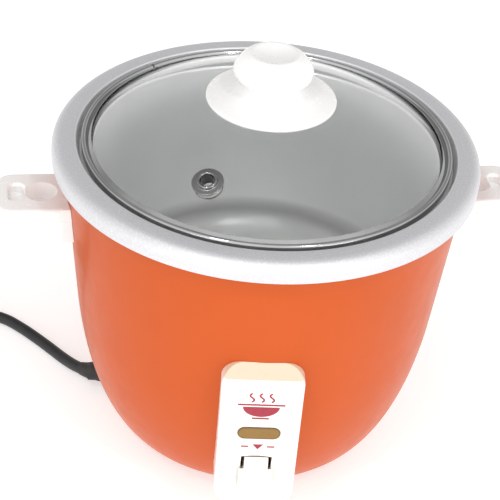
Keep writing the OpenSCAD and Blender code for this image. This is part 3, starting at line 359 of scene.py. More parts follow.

# %% [markdown]
# ### Polished steel
# The lid's band and the vent's eyelet are rolled stainless steel, polished in the direction of rolling. They
# mirror the room, so the lines are very shallow. The band is a strip whose ends meet in a seam at the back;
# the eyelet, which lies closer to the middle, is painted a darker steel: painted shade for the dark room it
# reflects.

# %% Polished steel
SEAM_ANGLE, SEAM_HALF_ANGLE = math.radians(131), 0.009
EYELET_SHADE_R = 75
polished = Finish("polished_steel", (0.50, 0.505, 0.51), 0.1, 1.0)
seam_x, seam_y, _ = polished.parts()
turned = maths(polished.tree, "ARCTAN2", seam_y, seam_x)
off_seam = maths(polished.tree, "ABSOLUTE", maths(polished.tree, "SUBTRACT", turned, SEAM_ANGLE))
polish_lines = polished.lathe_lines(0.35)
polished.tint(polished.step(polished.noise(14), 0.4, 0.7, 0, 0.4), (0.38, 0.385, 0.39))
polished.tint(polished.step(off_seam, 0.0, SEAM_HALF_ANGLE, 1, 0), (0.03, 0.03, 0.03))
# Painted shade: inside this radius the eyelet is the same steel made darker.
polished.tint(polished.step(polished.radius(), EYELET_SHADE_R * MM, (EYELET_SHADE_R + 1) * MM, 1, 0),
              (0.26, 0.26, 0.265))
polished.gloss(polished.step(polish_lines, 0.3, 0.7, 0.07, 0.16))
polished.relief(polish_lines, 0.004, 0.4)
finishes["polished_steel"] = polished.material
print("polished steel", len(polished.tree.nodes), "nodes")

# %% [markdown]
# ### Tempered glass
# The dome is clear with a slight green-grey body. A pure glass shader would throw a dark shadow into the pot,
# because light paths through two refracting faces are hard to find; so shadow rays pass through a plain tint
# instead. Faint smears, as a cloth leaves them, break up the gloss a little.

# %% Glass
GLASS_BODY = (0.945, 0.958, 0.957)
glass = Finish("clear_glass", GLASS_BODY, 0.0, Transmission_Weight=1.0, IOR=1.48)
glass.tint(glass.step(glass.noise(60), 0.4, 0.7, 0, 0.5), shade(GLASS_BODY, 0.97))
glass.gloss(glass.step(glass.noise(22), 0.5, 0.75, 0.0, 0.02))
rays = node(glass.tree, "ShaderNodeLightPath").outputs["Is Shadow Ray"]
see_through = node(glass.tree, "ShaderNodeBsdfTransparent", {"Color": (*shade(GLASS_BODY, 0.98), 1)})
both = node(glass.tree, "ShaderNodeMixShader", {
    0: rays, 1: glass.skin.outputs[0], 2: see_through.outputs[0]}).outputs[0]
glass.tree.links.new(both, glass.tree.nodes["Material Output"].inputs["Surface"])
finishes["clear_glass"] = glass.material
print("glass", len(glass.tree.nodes), "nodes")

# %% [markdown]
# ### Moulded plastics
# The knob and the handles are glossy white, the panel and its key a warmer white. Moulded parts show a slow
# change of tone where the melt cooled unevenly, and a very fine texture that softens the gloss. Where the
# warm white faces up it is painted a darker cream, most of all at the top of the panel: painted shade with a
# painted warm reflection of the orange housing in it.

# %% Moulded plastics
def moulded(slot, color, roughness, tone, **constants):
    """A glossy moulded plastic: tone is the darker colour that it drifts to."""
    made = Finish(slot, color, roughness, **constants)
    made.tint(made.step(made.noise(26), 0.35, 0.7, 0, 0.5), tone)
    made.gloss(made.step(made.noise(5), 0.3, 0.7, roughness * 0.85, roughness * 1.25))
    made.relief(made.noise(1.1, 2), 0.01).relief(made.noise(0.3, 1), 0.004)
    finishes[slot] = made.material
    return made


moulded("white_plastic", (0.93, 0.925, 0.915), 0.24, (0.88, 0.87, 0.865),
        Coat_Weight=0.3, Coat_Roughness=0.08)
cream = moulded("cream_plastic", (0.94, 0.92, 0.875), 0.28, (0.93, 0.90, 0.84),
                Coat_Weight=0.2, Coat_Roughness=0.12)
# Painted shade and painted warm reflection: upward faces of the panel and key turn a darker cream, most near
# the top.
facing = cream.parts(node(cream.tree, "ShaderNodeNewGeometry").outputs["True Normal"])["Z"]
SHADE_LOW_Z, SHADE_HIGH_Z = 60, 95
shade_height = cream.step(cream.parts()["Z"], SHADE_LOW_Z * MM, SHADE_HIGH_Z * MM, 0.3, 1)
cream.tint(maths(cream.tree, "MULTIPLY", shade_height, cream.step(facing, 0.15, 0.6)), (0.76, 0.61, 0.46))
moulded("red_plastic", (0.48, 0.02, 0.015), 0.3, (0.36, 0.015, 0.012))
moulded("lamp_glass", (0.78, 0.34, 0.14), 0.1, (0.7, 0.26, 0.1), Transmission_Weight=0.5)
print("moulded plastics ready")

# %% [markdown]
# ### Amber lens
# The lens over the lamp is a tinted stadium with fine slanting ribs on its back. Its rim is painted darker,
# as painted shade from the wall of the panel that stands behind it.

# %% Amber lens
lens_low, lens_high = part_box("indicator_lens")
lens_middle = (lens_low + lens_high) / 2
LENS_HALF_W, LENS_HALF_H, RIB_PITCH, RIB_SLANT = 10.1, 3.55, 1.1, 0.6
RIM_SHADE_START, RIM_SHADE_END = LENS_HALF_H - 0.9, LENS_HALF_H - 0.1
AMBER = (0.30, 0.158, 0.020)
lens = Finish("amber_lens", AMBER, 0.22, Transmission_Weight=0.15, Coat_Weight=0.3)
lens_x, _, lens_z = lens.parts(node(lens.tree, "ShaderNodeVectorMath", {
    0: lens.place, 1: lens_middle}, operation="SUBTRACT").outputs[0])
past_end = maths(lens.tree, "MAXIMUM", maths(
    lens.tree, "SUBTRACT", maths(lens.tree, "ABSOLUTE", lens_x), (LENS_HALF_W - LENS_HALF_H) * MM), 0)
from_line = maths(lens.tree, "SQRT", maths(
    lens.tree, "ADD", *(maths(lens.tree, "MULTIPLY", side, side) for side in (past_end, lens_z))))
slant = maths(lens.tree, "ADD", lens_x, maths(lens.tree, "MULTIPLY", lens_z, RIB_SLANT))
ribs = maths(lens.tree, "SINE", maths(lens.tree, "MULTIPLY", slant, 2 * math.pi / (RIB_PITCH * MM)))
lens.tint(lens.step(ribs, -1, 1, 0, 0.25), shade(AMBER, 0.72))
lens.tint(lens.step(lens.noise(4), 0.4, 0.7, 0, 0.3), shade(AMBER, 1.25))
# Painted shade: the lens darkens towards its rim.
lens.tint(lens.step(from_line, RIM_SHADE_START * MM, RIM_SHADE_END * MM, 0, 0.75), shade(AMBER, 0.35))
lens.relief(ribs, 0.05, 0.5)
finishes["amber_lens"] = lens.material
print("lens", len(lens.tree.nodes), "nodes")

# %% [markdown]
# ### Workshop metals, rubber and small plastics
# Most of the inner parts are stamped, drawn, cast or moulded, and each of those leaves its own grain. They
# differ only in colour, grain size and depth, so a table and one loop make them all.

# %% Workshop finishes
WORKSHOP = {
    # slot: colour, second colour, roughness, metallic, grain size, grain depth, spot size
    "cast_aluminium": ((0.50, 0.51, 0.53), (0.38, 0.39, 0.41), 0.42, 1.0, 0.8, 0.10, 12),
    "drum_steel": ((0.60, 0.61, 0.63), (0.44, 0.46, 0.49), 0.3, 1.0, 3.5, 0.02, 9),
    "plated_steel": ((0.58, 0.585, 0.59), (0.46, 0.465, 0.48), 0.28, 1.0, 0.5, 0.02, 4),
    "spring_steel": ((0.50, 0.51, 0.53), (0.30, 0.30, 0.32), 0.32, 1.0, 0.3, 0.03, 2),
    "brass_part": ((0.62, 0.42, 0.14), (0.45, 0.28, 0.08), 0.26, 1.0, 0.4, 0.02, 3),
    "ferrite": ((0.045, 0.045, 0.05), (0.075, 0.072, 0.07), 0.55, 0.0, 0.25, 0.05, 2),
    "white_silicone": ((0.78, 0.76, 0.72), (0.70, 0.68, 0.63), 0.55, 0.0, 0.4, 0.03, 6),
    "black_rubber": ((0.016, 0.016, 0.017), (0.035, 0.034, 0.033), 0.62, 0.0, 0.35, 0.05, 5),
    "black_pvc": ((0.010, 0.010, 0.011), (0.022, 0.022, 0.023), 0.42, 0.0, 0.5, 0.02, 14),
    "black_plastic": ((0.014, 0.014, 0.015), (0.026, 0.026, 0.027), 0.45, 0.0, 0.35, 0.03, 7),
    "block_plastic": ((0.72, 0.68, 0.57), (0.62, 0.57, 0.46), 0.45, 0.0, 0.5, 0.03, 7),
}
TURNED_SLOTS = ("drum_steel", "plated_steel")
for slot, (first, second, roughness, metallic, grain, depth, spot) in WORKSHOP.items():
    made = Finish(slot, first, roughness, metallic)
    made.tint(made.step(made.noise(spot), 0.38, 0.66), second)
    made.gloss(made.step(made.noise(spot / 2), 0.3, 0.7, roughness * 0.8, roughness * 1.2))
    made.relief(made.lathe_lines(grain) if slot in TURNED_SLOTS else made.noise(grain), depth)
    finishes[slot] = made.material
for name, part in nodes.items():
    part.data.materials.clear()
    part.data.materials.append(finishes[slot_of[name]])
print(len(finishes), "finishes on", len(nodes), "pieces")

# %% [markdown]
# ## Mains lead
# A lead is a fixed length of flexible round sheath. Here it leaves the housing low at the back left, drops to
# the table, and what isn't needed is wound into a small coil with a tie, with the plug beside it. A bevelled
# curve would do, but a swept tube with smooth bends exports as an honest mesh. The route repeats the
# construction's own.

# %% Route of the lead
LEAD_D = 6.5
lead_route = [
    (-74, 4.5, 13.5), (-81, 6, 11.5), (-88, 9, 9), (-95, 14.5, 6.5), (-103, 23, 4.5),
    (-111, 32, 3.5), (-120, 41, 3.25), (-130, 50, 3.25), (-141, 58, 3.25), (-153, 62, 3.25),
    (-166, 62, 3.25), (-179, 58, 3.25), (-192, 54.5, 3.25),
]
tail_route = [
    (-250, 76, 9.5), (-259, 92, 8.5), (-262, 110, 7.5), (-257, 127, 7),
    (-247, 140, 7), (-236, 147, 7), (-226, 148, 7),
]
COIL_AT = Vector((-210, 92, 0))
COIL_R = 36
COIL_START, COIL_END = -78, -135.5 - 3 * 360
STEPS_PER_TURN = 24
INWARD_TURN, UPWARD_TURN, OUTWARD_TURN = 1, 2, 3
CHANGE_OVER = 0.2


def ease(t):
    """Goes smoothly from 0 to 1."""
    t = min(max(t, 0), 1)
    return t * t * (3 - 2 * t)


def change(turned, turn):
    """Goes from 0 to 1 over the last part before a full turn."""
    return ease((turned - turn + CHANGE_OVER) / CHANGE_OVER)


def coil_points():
    """Three turns and a bit: the outer one on the table, two inner ones, and out again on top."""
    half = LEAD_D / 2
    count = round(STEPS_PER_TURN * (COIL_START - COIL_END) / 360)
    points = []
    for i in range(count + 1):
        turned = (COIL_START - COIL_END) / 360 * i / count
        angle = math.radians(COIL_START - 360 * turned)
        reach = COIL_R + half - LEAD_D * (change(turned, INWARD_TURN) - change(turned, OUTWARD_TURN))
        height = half + LEAD_D * change(turned, UPWARD_TURN)
        points.append(COIL_AT + Vector((reach * math.cos(angle), reach * math.sin(angle), height)))
    return points


lead_points = [Vector(p) for p in lead_route] + coil_points() + [Vector(p) for p in tail_route]

# %% The lead itself, and the ribbed sleeve that eases its first bend
mains_lead = grow("mains_lead", sweep_tree, lead_points, finishes["black_pvc"], sharp=60,
                  Diameter=LEAD_D * MM, Sides=20, Steps=4)
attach(mains_lead, "base")
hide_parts("power_cord", "cord_coil", "plug_lead")
SLEEVE_D, SLEEVE_TAPER, SLEEVE_RIBS, SLEEVE_RIB_H, SLEEVE_TIP = 11.9, 0.4, 5, 0.06, (-92.5, 12.3, 7.4)
lead_sleeve = grow("lead_sleeve", sweep_tree, lead_route[1:3] + [SLEEVE_TIP], finishes["black_rubber"],
                   sharp=50, Diameter=SLEEVE_D * MM, Sides=24, Steps=40, Taper=SLEEVE_TAPER,
                   Ribs=SLEEVE_RIBS, Rib_height=SLEEVE_RIB_H)
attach(lead_sleeve, "base")

# %% [markdown]
# ## Return spring
# Pressing the cook key lifts the magnet towards the thermostat's cup, and the spring between them gets
# shorter. A rigid coil would push up through the cup and the pot; this one is a fixed coil that stands on the
# magnet and rides with it.

# %% Return spring
SPRING_TURNS, SPRING_WIRE, SPRING_R, POINTS_A_TURN = 4, 0.8, 11.55, 24
spring_low_z, spring_high_z = (corner[2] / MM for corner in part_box("magnet_spring"))
spring_length = spring_high_z - spring_low_z
wire_rise = spring_length - SPRING_WIRE
spring_points = [
    (SPRING_R * math.cos(turn), SPRING_R * math.sin(turn),
     spring_low_z + SPRING_WIRE / 2 + wire_rise * turn / (2 * math.pi * SPRING_TURNS))
    for turn in (2 * math.pi * i / POINTS_A_TURN for i in range(SPRING_TURNS * POINTS_A_TURN + 1))]
return_spring = grow("return_spring", sweep_tree, spring_points, finishes["spring_steel"], sharp=60,
                     Diameter=SPRING_WIRE * MM, Sides=12, Steps=2)
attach(return_spring, "magnet_carrier")
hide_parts("magnet_spring")
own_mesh(return_spring)

# %% [markdown]
# ## Turned and spun parts
# Pot, glass, band, knob and eyelet are all round, so each is a profile of radius and height, spun by the same
# tree in more steps than the construction needs. Curved metal and glass mirror the room, and only a fine,
# even mesh keeps those reflections from rippling.

# %% Profile helpers
ROUND = 192


def arc(middle, radius, start, stop, steps=12):
    """Points on an arc of a profile, from start to stop in degrees."""
    angles = [math.radians(start + (stop - start) * i / steps) for i in range(steps + 1)]
    return [(middle[0] + radius * math.cos(a), middle[1] + radius * math.sin(a)) for a in angles]


def sheet(path, thickness):
    """Closed outline of sheet metal: the path, and its other face on the right of it."""
    other = []
    for i, point in enumerate(path):
        ahead = Vector(path[min(i + 1, len(path) - 1)]) - Vector(path[max(i - 1, 0)])
        other.append((point[0] + thickness * ahead.y / ahead.length,
                      point[1] - thickness * ahead.x / ahead.length))
    return path + other[::-1]


def turned_part(name, outline, slot, body, *stands_for, place=None, sharp=30, steps=ROUND):
    """Spins an outline, lets it ride on a body and stand for the construction's own solid."""
    points = [(r, 0, z) for r, z in outline]
    part = grow(name, spin_tree, points, finishes[slot], sharp, place, Segments=steps)
    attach(part, body)
    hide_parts(*stands_for)
    return part


print("spun in", ROUND, "steps")

# %% [markdown]
# ### Holes in finished shells
# The housing and the glass have holes that don't lie round the axis, so turning can't make them. A boolean
# modifier takes a cutter's form out of the finished shell, and its result is kept as a plain mesh. Leaving
# the faces out while the shell is made would need a mesh that follows each hole's edge.

# %% A cutter for holes
DRILL_L = 30


def cut(part, name, cutter):
    """Takes the cutter's form out of a part and keeps the result as a plain mesh."""
    cutter_mesh = bpy.data.meshes.new("cutter")
    cutter.to_mesh(cutter_mesh)
    cutter.free()
    tool = into_scene("cutter", cutter_mesh)
    cutting = part.modifiers.new("cut", "BOOLEAN")
    cutting.operation, cutting.object = "DIFFERENCE", tool
    mesh = bpy.data.meshes.new_from_object(part.evaluated_get(bpy.context.evaluated_depsgraph_get()))
    part.modifiers.remove(cutting)
    part.data = mesh
    mesh.name = name
    mesh.set_sharp_from_angle(angle=math.radians(30))
    bpy.data.objects.remove(tool)
    print(name, len(mesh.polygons), "faces after cutting")


def drill(radius, place):
    """A round cutter, centred on a place."""
    form = bmesh.new()
    bmesh.ops.create_cone(form, cap_ends=True, segments=64, radius1=radius * MM, radius2=radius * MM,
                          depth=DRILL_L * MM, matrix=place)
    return form


print("helpers: cut, drill")

# %% [markdown]
# ## Housing
# The housing is one drawn steel shell: a slightly leaning wall, a wide rounded corner like a quarter of an
# ellipse, and a ledge at the top that the pot hangs over. The same rule as in the construction gives its
# radius at each height. Behind the panel it has a window for the lever and the lamp, and low at the back left
# a hole for the lead.

# %% Housing shell
HOUSING_R, LEAN, CORNER_W, CORNER_H, UNDERSIDE_Z, HOUSING_TOP_Z = 99, 0.073, 23, 77, 6, 170.8
BASE_HOLE_R, BASE_FLAT_R, LEDGE_R, HOUSING_T, LEDGE_ROUND = 50, 57, 94.5, 1, 1.6
CORNER_STEPS, WALL_HEIGHTS = 60, [105, 127, 149, 168.8]
WINDOW_AT, WINDOW_SIZE = Vector((0, -84.5, 52)), Vector((24, 30, 52, 1))
LEAD_HOLE_R, LEAD_HOLE_Z = 5, 14
LEAD_HOLE_TURN, LEAD_HOLE_YAW, LEAD_HOLE_PITCH = (math.radians(angle) for angle in (177, -7, 106))


def wall_r(z):
    """Outer radius of the housing at a height."""
    up_corner = max(UNDERSIDE_Z + CORNER_H - z, 0) / CORNER_H
    return HOUSING_R - LEAN * (HOUSING_TOP_Z - z) - CORNER_W * (1 - math.sqrt(max(1 - up_corner ** 2, 0)))


corner_heights = [UNDERSIDE_Z + CORNER_H * (1 - math.sin(math.radians(90 - 90 * i / CORNER_STEPS)))
                  for i in range(CORNER_STEPS + 1)]
housing_path = (
    [(BASE_HOLE_R, UNDERSIDE_Z), (BASE_FLAT_R, UNDERSIDE_Z)]
    + [(wall_r(z), z) for z in corner_heights + WALL_HEIGHTS]
    + arc((HOUSING_R - LEDGE_ROUND, HOUSING_TOP_Z - LEDGE_ROUND), LEDGE_ROUND, 0, 90, 8)
    + [(LEDGE_R, HOUSING_TOP_Z)])
housing_outline = sheet(housing_path, -HOUSING_T)
housing = turned_part("enamel_housing", housing_outline + housing_outline[:1], "orange_enamel", "base",
                      "outer_housing")
window = bmesh.new()
bmesh.ops.create_cube(window, size=1, matrix=Matrix.Translation(WINDOW_AT * MM)
                      @ Matrix.Diagonal(WINDOW_SIZE * MM).to_4x4())
cut(housing, "enamel_housing", window)
lead_hole_at = (
    Matrix.Rotation(LEAD_HOLE_TURN, 4, "Z")
    @ Matrix.Translation(Vector((wall_r(LEAD_HOLE_Z), 0, LEAD_HOLE_Z)) * MM)
    @ Matrix.Rotation(LEAD_HOLE_YAW, 4, "Z") @ Matrix.Rotation(LEAD_HOLE_PITCH, 4, "Y"))
cut(housing, "enamel_housing", drill(LEAD_HOLE_R, lead_hole_at))

# %% [markdown]
# ## Cooking pot
# The pot is one sheet of spun aluminium: a flat floor, a round corner, an upright wall, a step for the lid,
# and a wide flange whose edge turns down over the housing. Its path is drawn once, from the middle of the
# floor outwards, and the same rule as for the housing gives it the thickness of the sheet. A solidify
# modifier could do that too, but a section that has both faces is turned in one go.

# %% Cooking pot
RIM_Z, SHEET_T = 172, 1.2
POT_R, POT_FLOOR_Z, POT_CORNER_R, POT_HEIGHTS = 83, 63.2, 18, (100, 120, 140, 155)
SEAT_Z, SEAT_R, SEAT_OUT_ROUND, SEAT_IN_ROUND, MOUTH_ROUND = 166, 91.3, 1.5, 1, 1.2
FLANGE_R, FLANGE_ROUND, LIP_H = 104, 5.5, 9.3
FLAT_SHARE, FLAT_STEPS = 0.78, 8
pot_path = (
    [(POT_R * FLAT_SHARE * i / FLAT_STEPS, POT_FLOOR_Z) for i in range(FLAT_STEPS)]
    + arc((POT_R - POT_CORNER_R, POT_FLOOR_Z + POT_CORNER_R), POT_CORNER_R, -90, 0, 20)
    + [(POT_R, z) for z in POT_HEIGHTS]
    + arc((POT_R + SEAT_OUT_ROUND, SEAT_Z - SEAT_OUT_ROUND), SEAT_OUT_ROUND, 180, 90, 6)
    + arc((SEAT_R - SEAT_IN_ROUND, SEAT_Z + SEAT_IN_ROUND), SEAT_IN_ROUND, -90, 0, 6)
    + arc((MOUTH_R + 1, RIM_Z - MOUTH_ROUND), MOUTH_ROUND, 170, 90, 6)
    + arc((FLANGE_R - FLANGE_ROUND, RIM_Z - FLANGE_ROUND), FLANGE_ROUND, 90, 0, 14)
    + [(FLANGE_R, RIM_Z - LIP_H)])
turned_part("cooking_pot", sheet(pot_path, SHEET_T), "spun_aluminium", "pot", "inner_pot")

# %% [markdown]
# ## Lid
# The glass is a shallow cap of a sphere, three millimetres thick, with a hole for the knob's screw and one
# for the vent. The band is rolled round its edge, a steel eyelet lines the vent, and the knob sits on top.

# %% Glass dome
DOME_R, DOME_Z, GLASS_T, GLASS_EDGE_R, GLASS_RINGS = 160, 36.046, 3, 88, 36
SCREW_HOLE_R, VENT_HOLE_R = 4, 5
VENT_AT_R, VENT_ANGLE = 65, math.radians(-117)


def dome(r):
    """Height of the glass's outer face at a radius."""
    return DOME_Z + math.sqrt(DOME_R ** 2 - r * r)


glass_radii = [SCREW_HOLE_R + (GLASS_EDGE_R - SCREW_HOLE_R) * i / GLASS_RINGS for i in range(GLASS_RINGS + 1)]
glass_outline = (
    [(r, dome(r)) for r in glass_radii]
    + arc((GLASS_EDGE_R, dome(GLASS_EDGE_R) - GLASS_T / 2), GLASS_T / 2, 70, -70, 6)
    + [(r, dome(r) - GLASS_T) for r in reversed(glass_radii)])
glass_dome = turned_part("glass_dome", glass_outline + glass_outline[:1], "clear_glass", "lid", "lid_glass")
vent_place = (Matrix.Rotation(VENT_ANGLE, 4, "Z") @ Matrix.Translation(Vector((0, 0, DOME_Z)) * MM)
              @ Matrix.Rotation(math.asin(VENT_AT_R / DOME_R), 4, "Y")
              @ Matrix.Translation(Vector((0, 0, DOME_R)) * MM))
cut(glass_dome, "glass_dome", drill(VENT_HOLE_R, vent_place))

# %% [markdown]
# ### Band
# The band is a thin steel strip rolled round the glass: a flat foot that sits in the pot's step, an upright
# wall, a bead at the top, and a lip that lies over the glass. One closed section has them all, so it is
# turned like the other parts. Sweeping the section along a circle would need another tree for the same
# shape.

# %% Rolled band
BAND_R, BAND_Z, BAND_TOP_Z, BAND_IN_R, BAND_FOOT_R = 90, 166, 172.4, 85, 83.5
BAND_T, BAND_GAP, BEAD_R, FOOT_T, FOOT_ROUND = 0.5, 0.3, 1.3, 0.4, 0.5
lip_foot_r = BAND_R - 2.2 * BEAD_R
band_outline = (
    [(BAND_FOOT_R, BAND_Z + FOOT_T), (BAND_FOOT_R, BAND_Z), (BAND_R - FOOT_ROUND, BAND_Z)]
    + arc((BAND_R - FOOT_ROUND, BAND_Z + FOOT_ROUND), FOOT_ROUND, -90, 0, 4)
    + arc((BAND_R - BEAD_R, BAND_TOP_Z - BEAD_R), BEAD_R, 0, 150, 16)
    + [(lip_foot_r, dome(lip_foot_r) + BAND_GAP + BAND_T)]
    + arc((BAND_IN_R + BAND_T / 2, dome(BAND_IN_R) + BAND_GAP + BAND_T / 2), BAND_T / 2, 90, 270, 6)
    + [(lip_foot_r, dome(lip_foot_r) + BAND_GAP), (BAND_R - BAND_T, BAND_TOP_Z - 2 * BEAD_R),
       (BAND_R - BAND_T, BAND_Z + 0.7), (BAND_R - 0.9, BAND_Z + FOOT_T)])
turned_part("rolled_band", band_outline + band_outline[:1], "polished_steel", "lid", "lid_band", sharp=40)

# %% [markdown]
# ### Steam eyelet
# A short steel tube lines the steam hole and keeps its edge from chipping. It has a rounded collar and a
# flange above the glass, and an edge rolled over below it. It is turned about the upright axis like the
# rest, in fewer steps, and then the matrix that placed the drill sets it square to the dome.

# %% Steam eyelet
BORE_R, COLLAR_T, EYELET_R, COLLAR_H, EYELET_ROUND = 3.2, 0.75, 7.4, 2, 0.5
TUBE_T, ROLL_W, ROLL_H = 1.6, 3.2, 0.7
eyelet_end = -GLASS_T - TUBE_T
eyelet_outline = (
    arc((BORE_R + COLLAR_T, COLLAR_H), COLLAR_T, 180, 0, 12)
    + arc((BORE_R + 2 * COLLAR_T + EYELET_ROUND, COLLAR_H - 0.4), EYELET_ROUND, 180, 260, 4)
    + [(EYELET_R - 1.1, 1.1)] + arc((EYELET_R - 0.6, 0.6), EYELET_ROUND, 80, -60, 8)
    + [(BORE_R + TUBE_T, 0.3), (BORE_R + TUBE_T, eyelet_end + ROLL_H), (BORE_R + ROLL_W, eyelet_end),
       (BORE_R, eyelet_end)])
turned_part("steam_eyelet", eyelet_outline + eyelet_outline[:1], "polished_steel", "lid", "vent_eyelet",
            place=vent_place, sharp=40, steps=64)

# %% [markdown]
# ### Knob
# The knob is one moulding: a skirt that flares out over the glass, a narrow neck for the fingers, and a cap
# with a shallow dish. Its rounds are arcs. The stretches between them are bends towards a corner, because
# no single circle fits them, and the skirt is a power curve that gets steeper towards the neck.

# %% Knob
SKIRT_R, SKIRT_EDGE_R, NECK_R, CAP_R, KNOB_H, DISH_DEPTH, DISH_RIM = 30.8, 0.9, 13.5, 19, 24.45, 2.4, 0.5
WAIST, WIDE, CAP_ROUND, TOP_R, CAP_TOP_ROUND, KNOB_GAP = 8.5, 15.5, 3.4, 11.02, 2.6, 0.2
SKIRT_STEPS, BOTTOM_STEPS, FLARE = 24, 12, 2.2
edge_z = dome(SKIRT_R) + KNOB_GAP


def bend(start, corner, stop, steps=12):
    """A smooth bend from one point to another, drawn towards a corner."""
    return [tuple(a * (1 - t) ** 2 + 2 * b * t * (1 - t) + c * t * t for a, b, c in zip(start, corner, stop))
            for t in (i / steps for i in range(steps + 1))]


def skirt(i):
    """A point of the skirt's hollow flare, from its edge up to the neck."""
    share = i / SKIRT_STEPS
    return NECK_R + (SKIRT_R - 0.6 - NECK_R) * (1 - share) ** FLARE, 2 + (WAIST - 2) * i / SKIRT_STEPS


def dish(r):
    """Height of the dish in the cap at a radius."""
    return KNOB_H - DISH_RIM - DISH_DEPTH * (1 - (r / (TOP_R - 1.5)) ** 2)


bottom_radii = [SKIRT_R * i / BOTTOM_STEPS for i in range(BOTTOM_STEPS + 1)]
knob_outline = (
    [(r, dome(r) + KNOB_GAP) for r in bottom_radii]
    + [(r, z + edge_z) for r, z in
       arc((SKIRT_R - 0.5, SKIRT_EDGE_R), SKIRT_EDGE_R, -30, 75, 8)
       + [skirt(i) for i in range(1, SKIRT_STEPS + 1)]
       + bend((NECK_R, WAIST + 0.5), (NECK_R + 0.4, WAIST + 2.8), (CAP_R - 1.3, WIDE - 2.6))
       + arc((CAP_R - CAP_ROUND, WIDE), CAP_ROUND, -38, 44, 12)
       + bend((17.8, 18.2), (16.2, 21.9), (12.83, KNOB_H - 0.73))
       + arc((TOP_R, KNOB_H - CAP_TOP_ROUND), CAP_TOP_ROUND, 46, 126, 12)
       + [(r, dish(r)) for r in (8.6, 7.5, 6, 4.5, 3, 1.5, 0)]])
turned_part("turned_knob", knob_outline, "white_plastic", "lid", "lid_knob", sharp=50)

# %% [markdown]
# ## Marks on the panel
# The panel carries plain printed marks: a bowl with steam above the lens, and an arrow over the key that says
# which way it is pressed. Ink is a very thin layer, so each mark is a flat shape a few hundredths of a
# millimetre proud of the face. Text could be used, but simple signs need no language.

# %% Ink and strokes
INK_T, INK_SINK, PANEL_FACE_Y = 0.06, 0.01, -99.5
STROKE_W, FINE_STROKE_W, CURL_HEIGHT, CURL_STEPS = 1.0, 0.9, 5.4, 12
INK_RED = (0.32, 0.022, 0.045)
ink = Finish("dark_red_ink", INK_RED, 0.35)
ink.tint(ink.step(ink.noise(1.5), 0.35, 0.65, 0, 0.5), shade(INK_RED, 1.35)).relief(ink.noise(0.25), 0.01)


def stroke(points, width):
    """Outline of a line of even width through points in the panel's plane."""
    sides = []
    for i, point in enumerate(points):
        ahead = Vector(points[min(i + 1, len(points) - 1)]) - Vector(points[max(i - 1, 0)])
        across = Vector((-ahead.y, ahead.x)).normalized() * width / 2
        sides.append((Vector(point) + across, Vector(point) - across))
    return [a for a, _ in sides] + [b for _, b in reversed(sides)]


def steam(x, z):
    """One curl of steam that rises from a place."""
    return stroke([(x + math.sin(2 * math.pi * i / CURL_STEPS), z + CURL_HEIGHT * i / CURL_STEPS)
                   for i in range(CURL_STEPS + 1)], FINE_STROKE_W)


def print_marks(name, outlines):
    """Thin raised shapes on the face of the panel, from outlines of width and height."""
    form = bmesh.new()
    for outline in outlines:
        back, front = ([form.verts.new(Vector((x, PANEL_FACE_Y + off, z)) * MM) for x, z in outline]
                       for off in (INK_SINK, -INK_T))
        form.faces.new(front)
        form.faces.new(back[::-1])
        for i in range(len(outline)):
            j = (i + 1) % len(outline)
            form.faces.new((front[j], front[i], back[i], back[j]))
    bmesh.ops.recalc_face_normals(form, faces=form.faces)
    mesh = bpy.data.meshes.new(name)
    form.to_mesh(mesh)
    form.free()
    mesh.materials.append(ink.material)
    marks = into_scene(name, mesh)
    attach(marks, "base")
    print(name, len(outlines), "marks")


print("ink", INK_T, "mm thick")

# %% Bowl with steam, and the arrow over the key
BOWL_Z, BOWL_R, BOWL_DEPTH, BOWL_STEPS = 87, 8.6, 6.2, 20
BRIM_HALF_W, BRIM_UP, STAND_HALF_W, STAND_DOWN, CURL_PITCH, CURL_UP = BOWL_R + 2.4, 1.3, 4, 1, 4.6, 3
bowl_angles = [math.pi * (1 + i / BOWL_STEPS) for i in range(BOWL_STEPS + 1)]
bowl = [(BOWL_R * math.cos(a), BOWL_Z + BOWL_DEPTH * math.sin(a)) for a in bowl_angles]
brim_z, stand_z = BOWL_Z + BRIM_UP, BOWL_Z - BOWL_DEPTH - STAND_DOWN
print_marks("bowl_marks", [
    bowl, stroke([(-BRIM_HALF_W, brim_z), (BRIM_HALF_W, brim_z)], STROKE_W),
    stroke([(-STAND_HALF_W, stand_z), (STAND_HALF_W, stand_z)], STROKE_W)]
    + [steam(x, BOWL_Z + CURL_UP) for x in (-CURL_PITCH, 0, CURL_PITCH)])
ARROW_Z, ARROW_HALF_W, ARROW_UP, ARROW_DOWN, DASH_FROM, DASH_TO = 61.5, 2.6, 1.5, 1.8, 4.4, 8
arrow = [(-ARROW_HALF_W, ARROW_Z + ARROW_UP), (0, ARROW_Z - ARROW_DOWN), (ARROW_HALF_W, ARROW_Z + ARROW_UP)]
print_marks("press_marks", [arrow] + [
    stroke([(side * DASH_FROM, ARROW_Z), (side * DASH_TO, ARROW_Z)], FINE_STROKE_W) for side in (-1, 1)])

# %% [markdown]
# ## Floor and light
# The cooker stands on a plain pale floor under soft light: two softboxes low in front, to the left and the
# right, two small lamps high up in front, and a bright room around. A room of one even grey would make
# polished metal look flat, so it is dimmer behind the cooker, and dimmest high up there. The floor glows a
# little, so that it stays white.

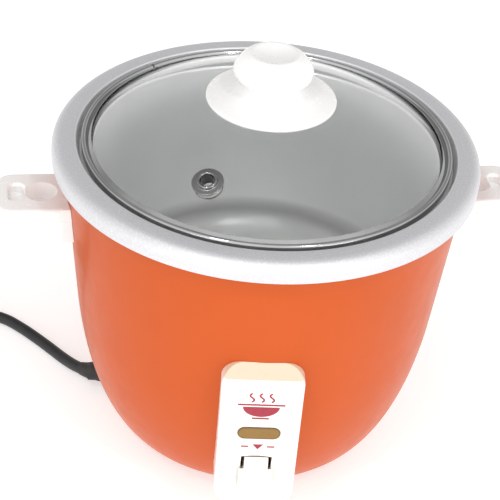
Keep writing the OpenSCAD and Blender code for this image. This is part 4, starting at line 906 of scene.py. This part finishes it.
# %% Floor
FLOOR_HALF, FLOOR_GLOW = 6, 0.45
floor_mesh = bpy.data.meshes.new("floor")
floor_corners = [(x * FLOOR_HALF, y * FLOOR_HALF, 0) for x, y in ((-1, -1), (1, -1), (1, 1), (-1, 1))]
floor_mesh.from_pydata(floor_corners, [], [(0, 1, 2, 3)])
floor = into_scene("floor", floor_mesh)
floor_paint = bpy.data.materials.new("floor_paint")
floor_paint.use_nodes = True
for socket, value in {"Base Color": (0.78, 0.78, 0.78, 1), "Roughness": 0.9,
                      "Emission Color": (1, 1, 1, 1), "Emission Strength": FLOOR_GLOW}.items():
    floor_paint.node_tree.nodes["Principled BSDF"].inputs[socket].default_value = value
floor_mesh.materials.append(floor_paint)

# %% Room and softboxes
FRONT_LIGHT, BACK_DIM, HIGH_BACK_DIM = 1.18, 0.4, 0.4
world = bpy.data.worlds.new("studio")
bpy.context.scene.world = world
world.use_nodes = True
room = world.node_tree
look = node(room, "ShaderNodeTexCoord").outputs["Generated"]
across, up = (node(room, "ShaderNodeSeparateXYZ", {0: look}).outputs[axis] for axis in "YZ")
at_back = node(room, "ShaderNodeMapRange", {"Value": across, "From Min": -0.5, "From Max": 0.5}).outputs[0]
high_at_back = maths(room, "MULTIPLY", at_back, node(
    room, "ShaderNodeMapRange", {"Value": up, "From Min": 0.25, "From Max": 0.55}).outputs[0])
room_light = maths(room, "SUBTRACT", FRONT_LIGHT, maths(
    room, "ADD", maths(room, "MULTIPLY", at_back, BACK_DIM),
    maths(room, "MULTIPLY", high_at_back, HIGH_BACK_DIM)))
room.links.new(room_light, room.nodes["Background"].inputs["Strength"])
room.nodes["Background"].inputs["Color"].default_value = (1, 0.995, 0.985, 1)
AIM = Vector((0, 0, 0.1))


def softbox(name, at, size, power):
    """A rectangular lamp that faces the cooker; its place and size are in metres."""
    data = bpy.data.lights.new(name, "AREA")
    data.shape = "RECTANGLE"
    data.size, data.size_y = size
    data.energy = power
    lamp = into_scene(name, data)
    lamp.location = at
    lamp.rotation_mode = "QUATERNION"
    lamp.rotation_quaternion = (AIM - Vector(at)).to_track_quat("-Z", "Y")
    print(name, power, "W")


SOFTBOX_SIZE, LAMP_SIZE, LAMP_X, LAMP_W = (0.5, 0.4), (0.12, 0.12), 0.42, 1.8
softbox("left_softbox", (-0.75, -1.2, 0.3), SOFTBOX_SIZE, 2.0)
softbox("right_softbox", (0.85, -1.1, 0.3), SOFTBOX_SIZE, 2.4)
for side, x in (("left", -LAMP_X), ("right", LAMP_X)):
    softbox(side + "_lamp", (x, -0.65, 1.25), LAMP_SIZE, LAMP_W)
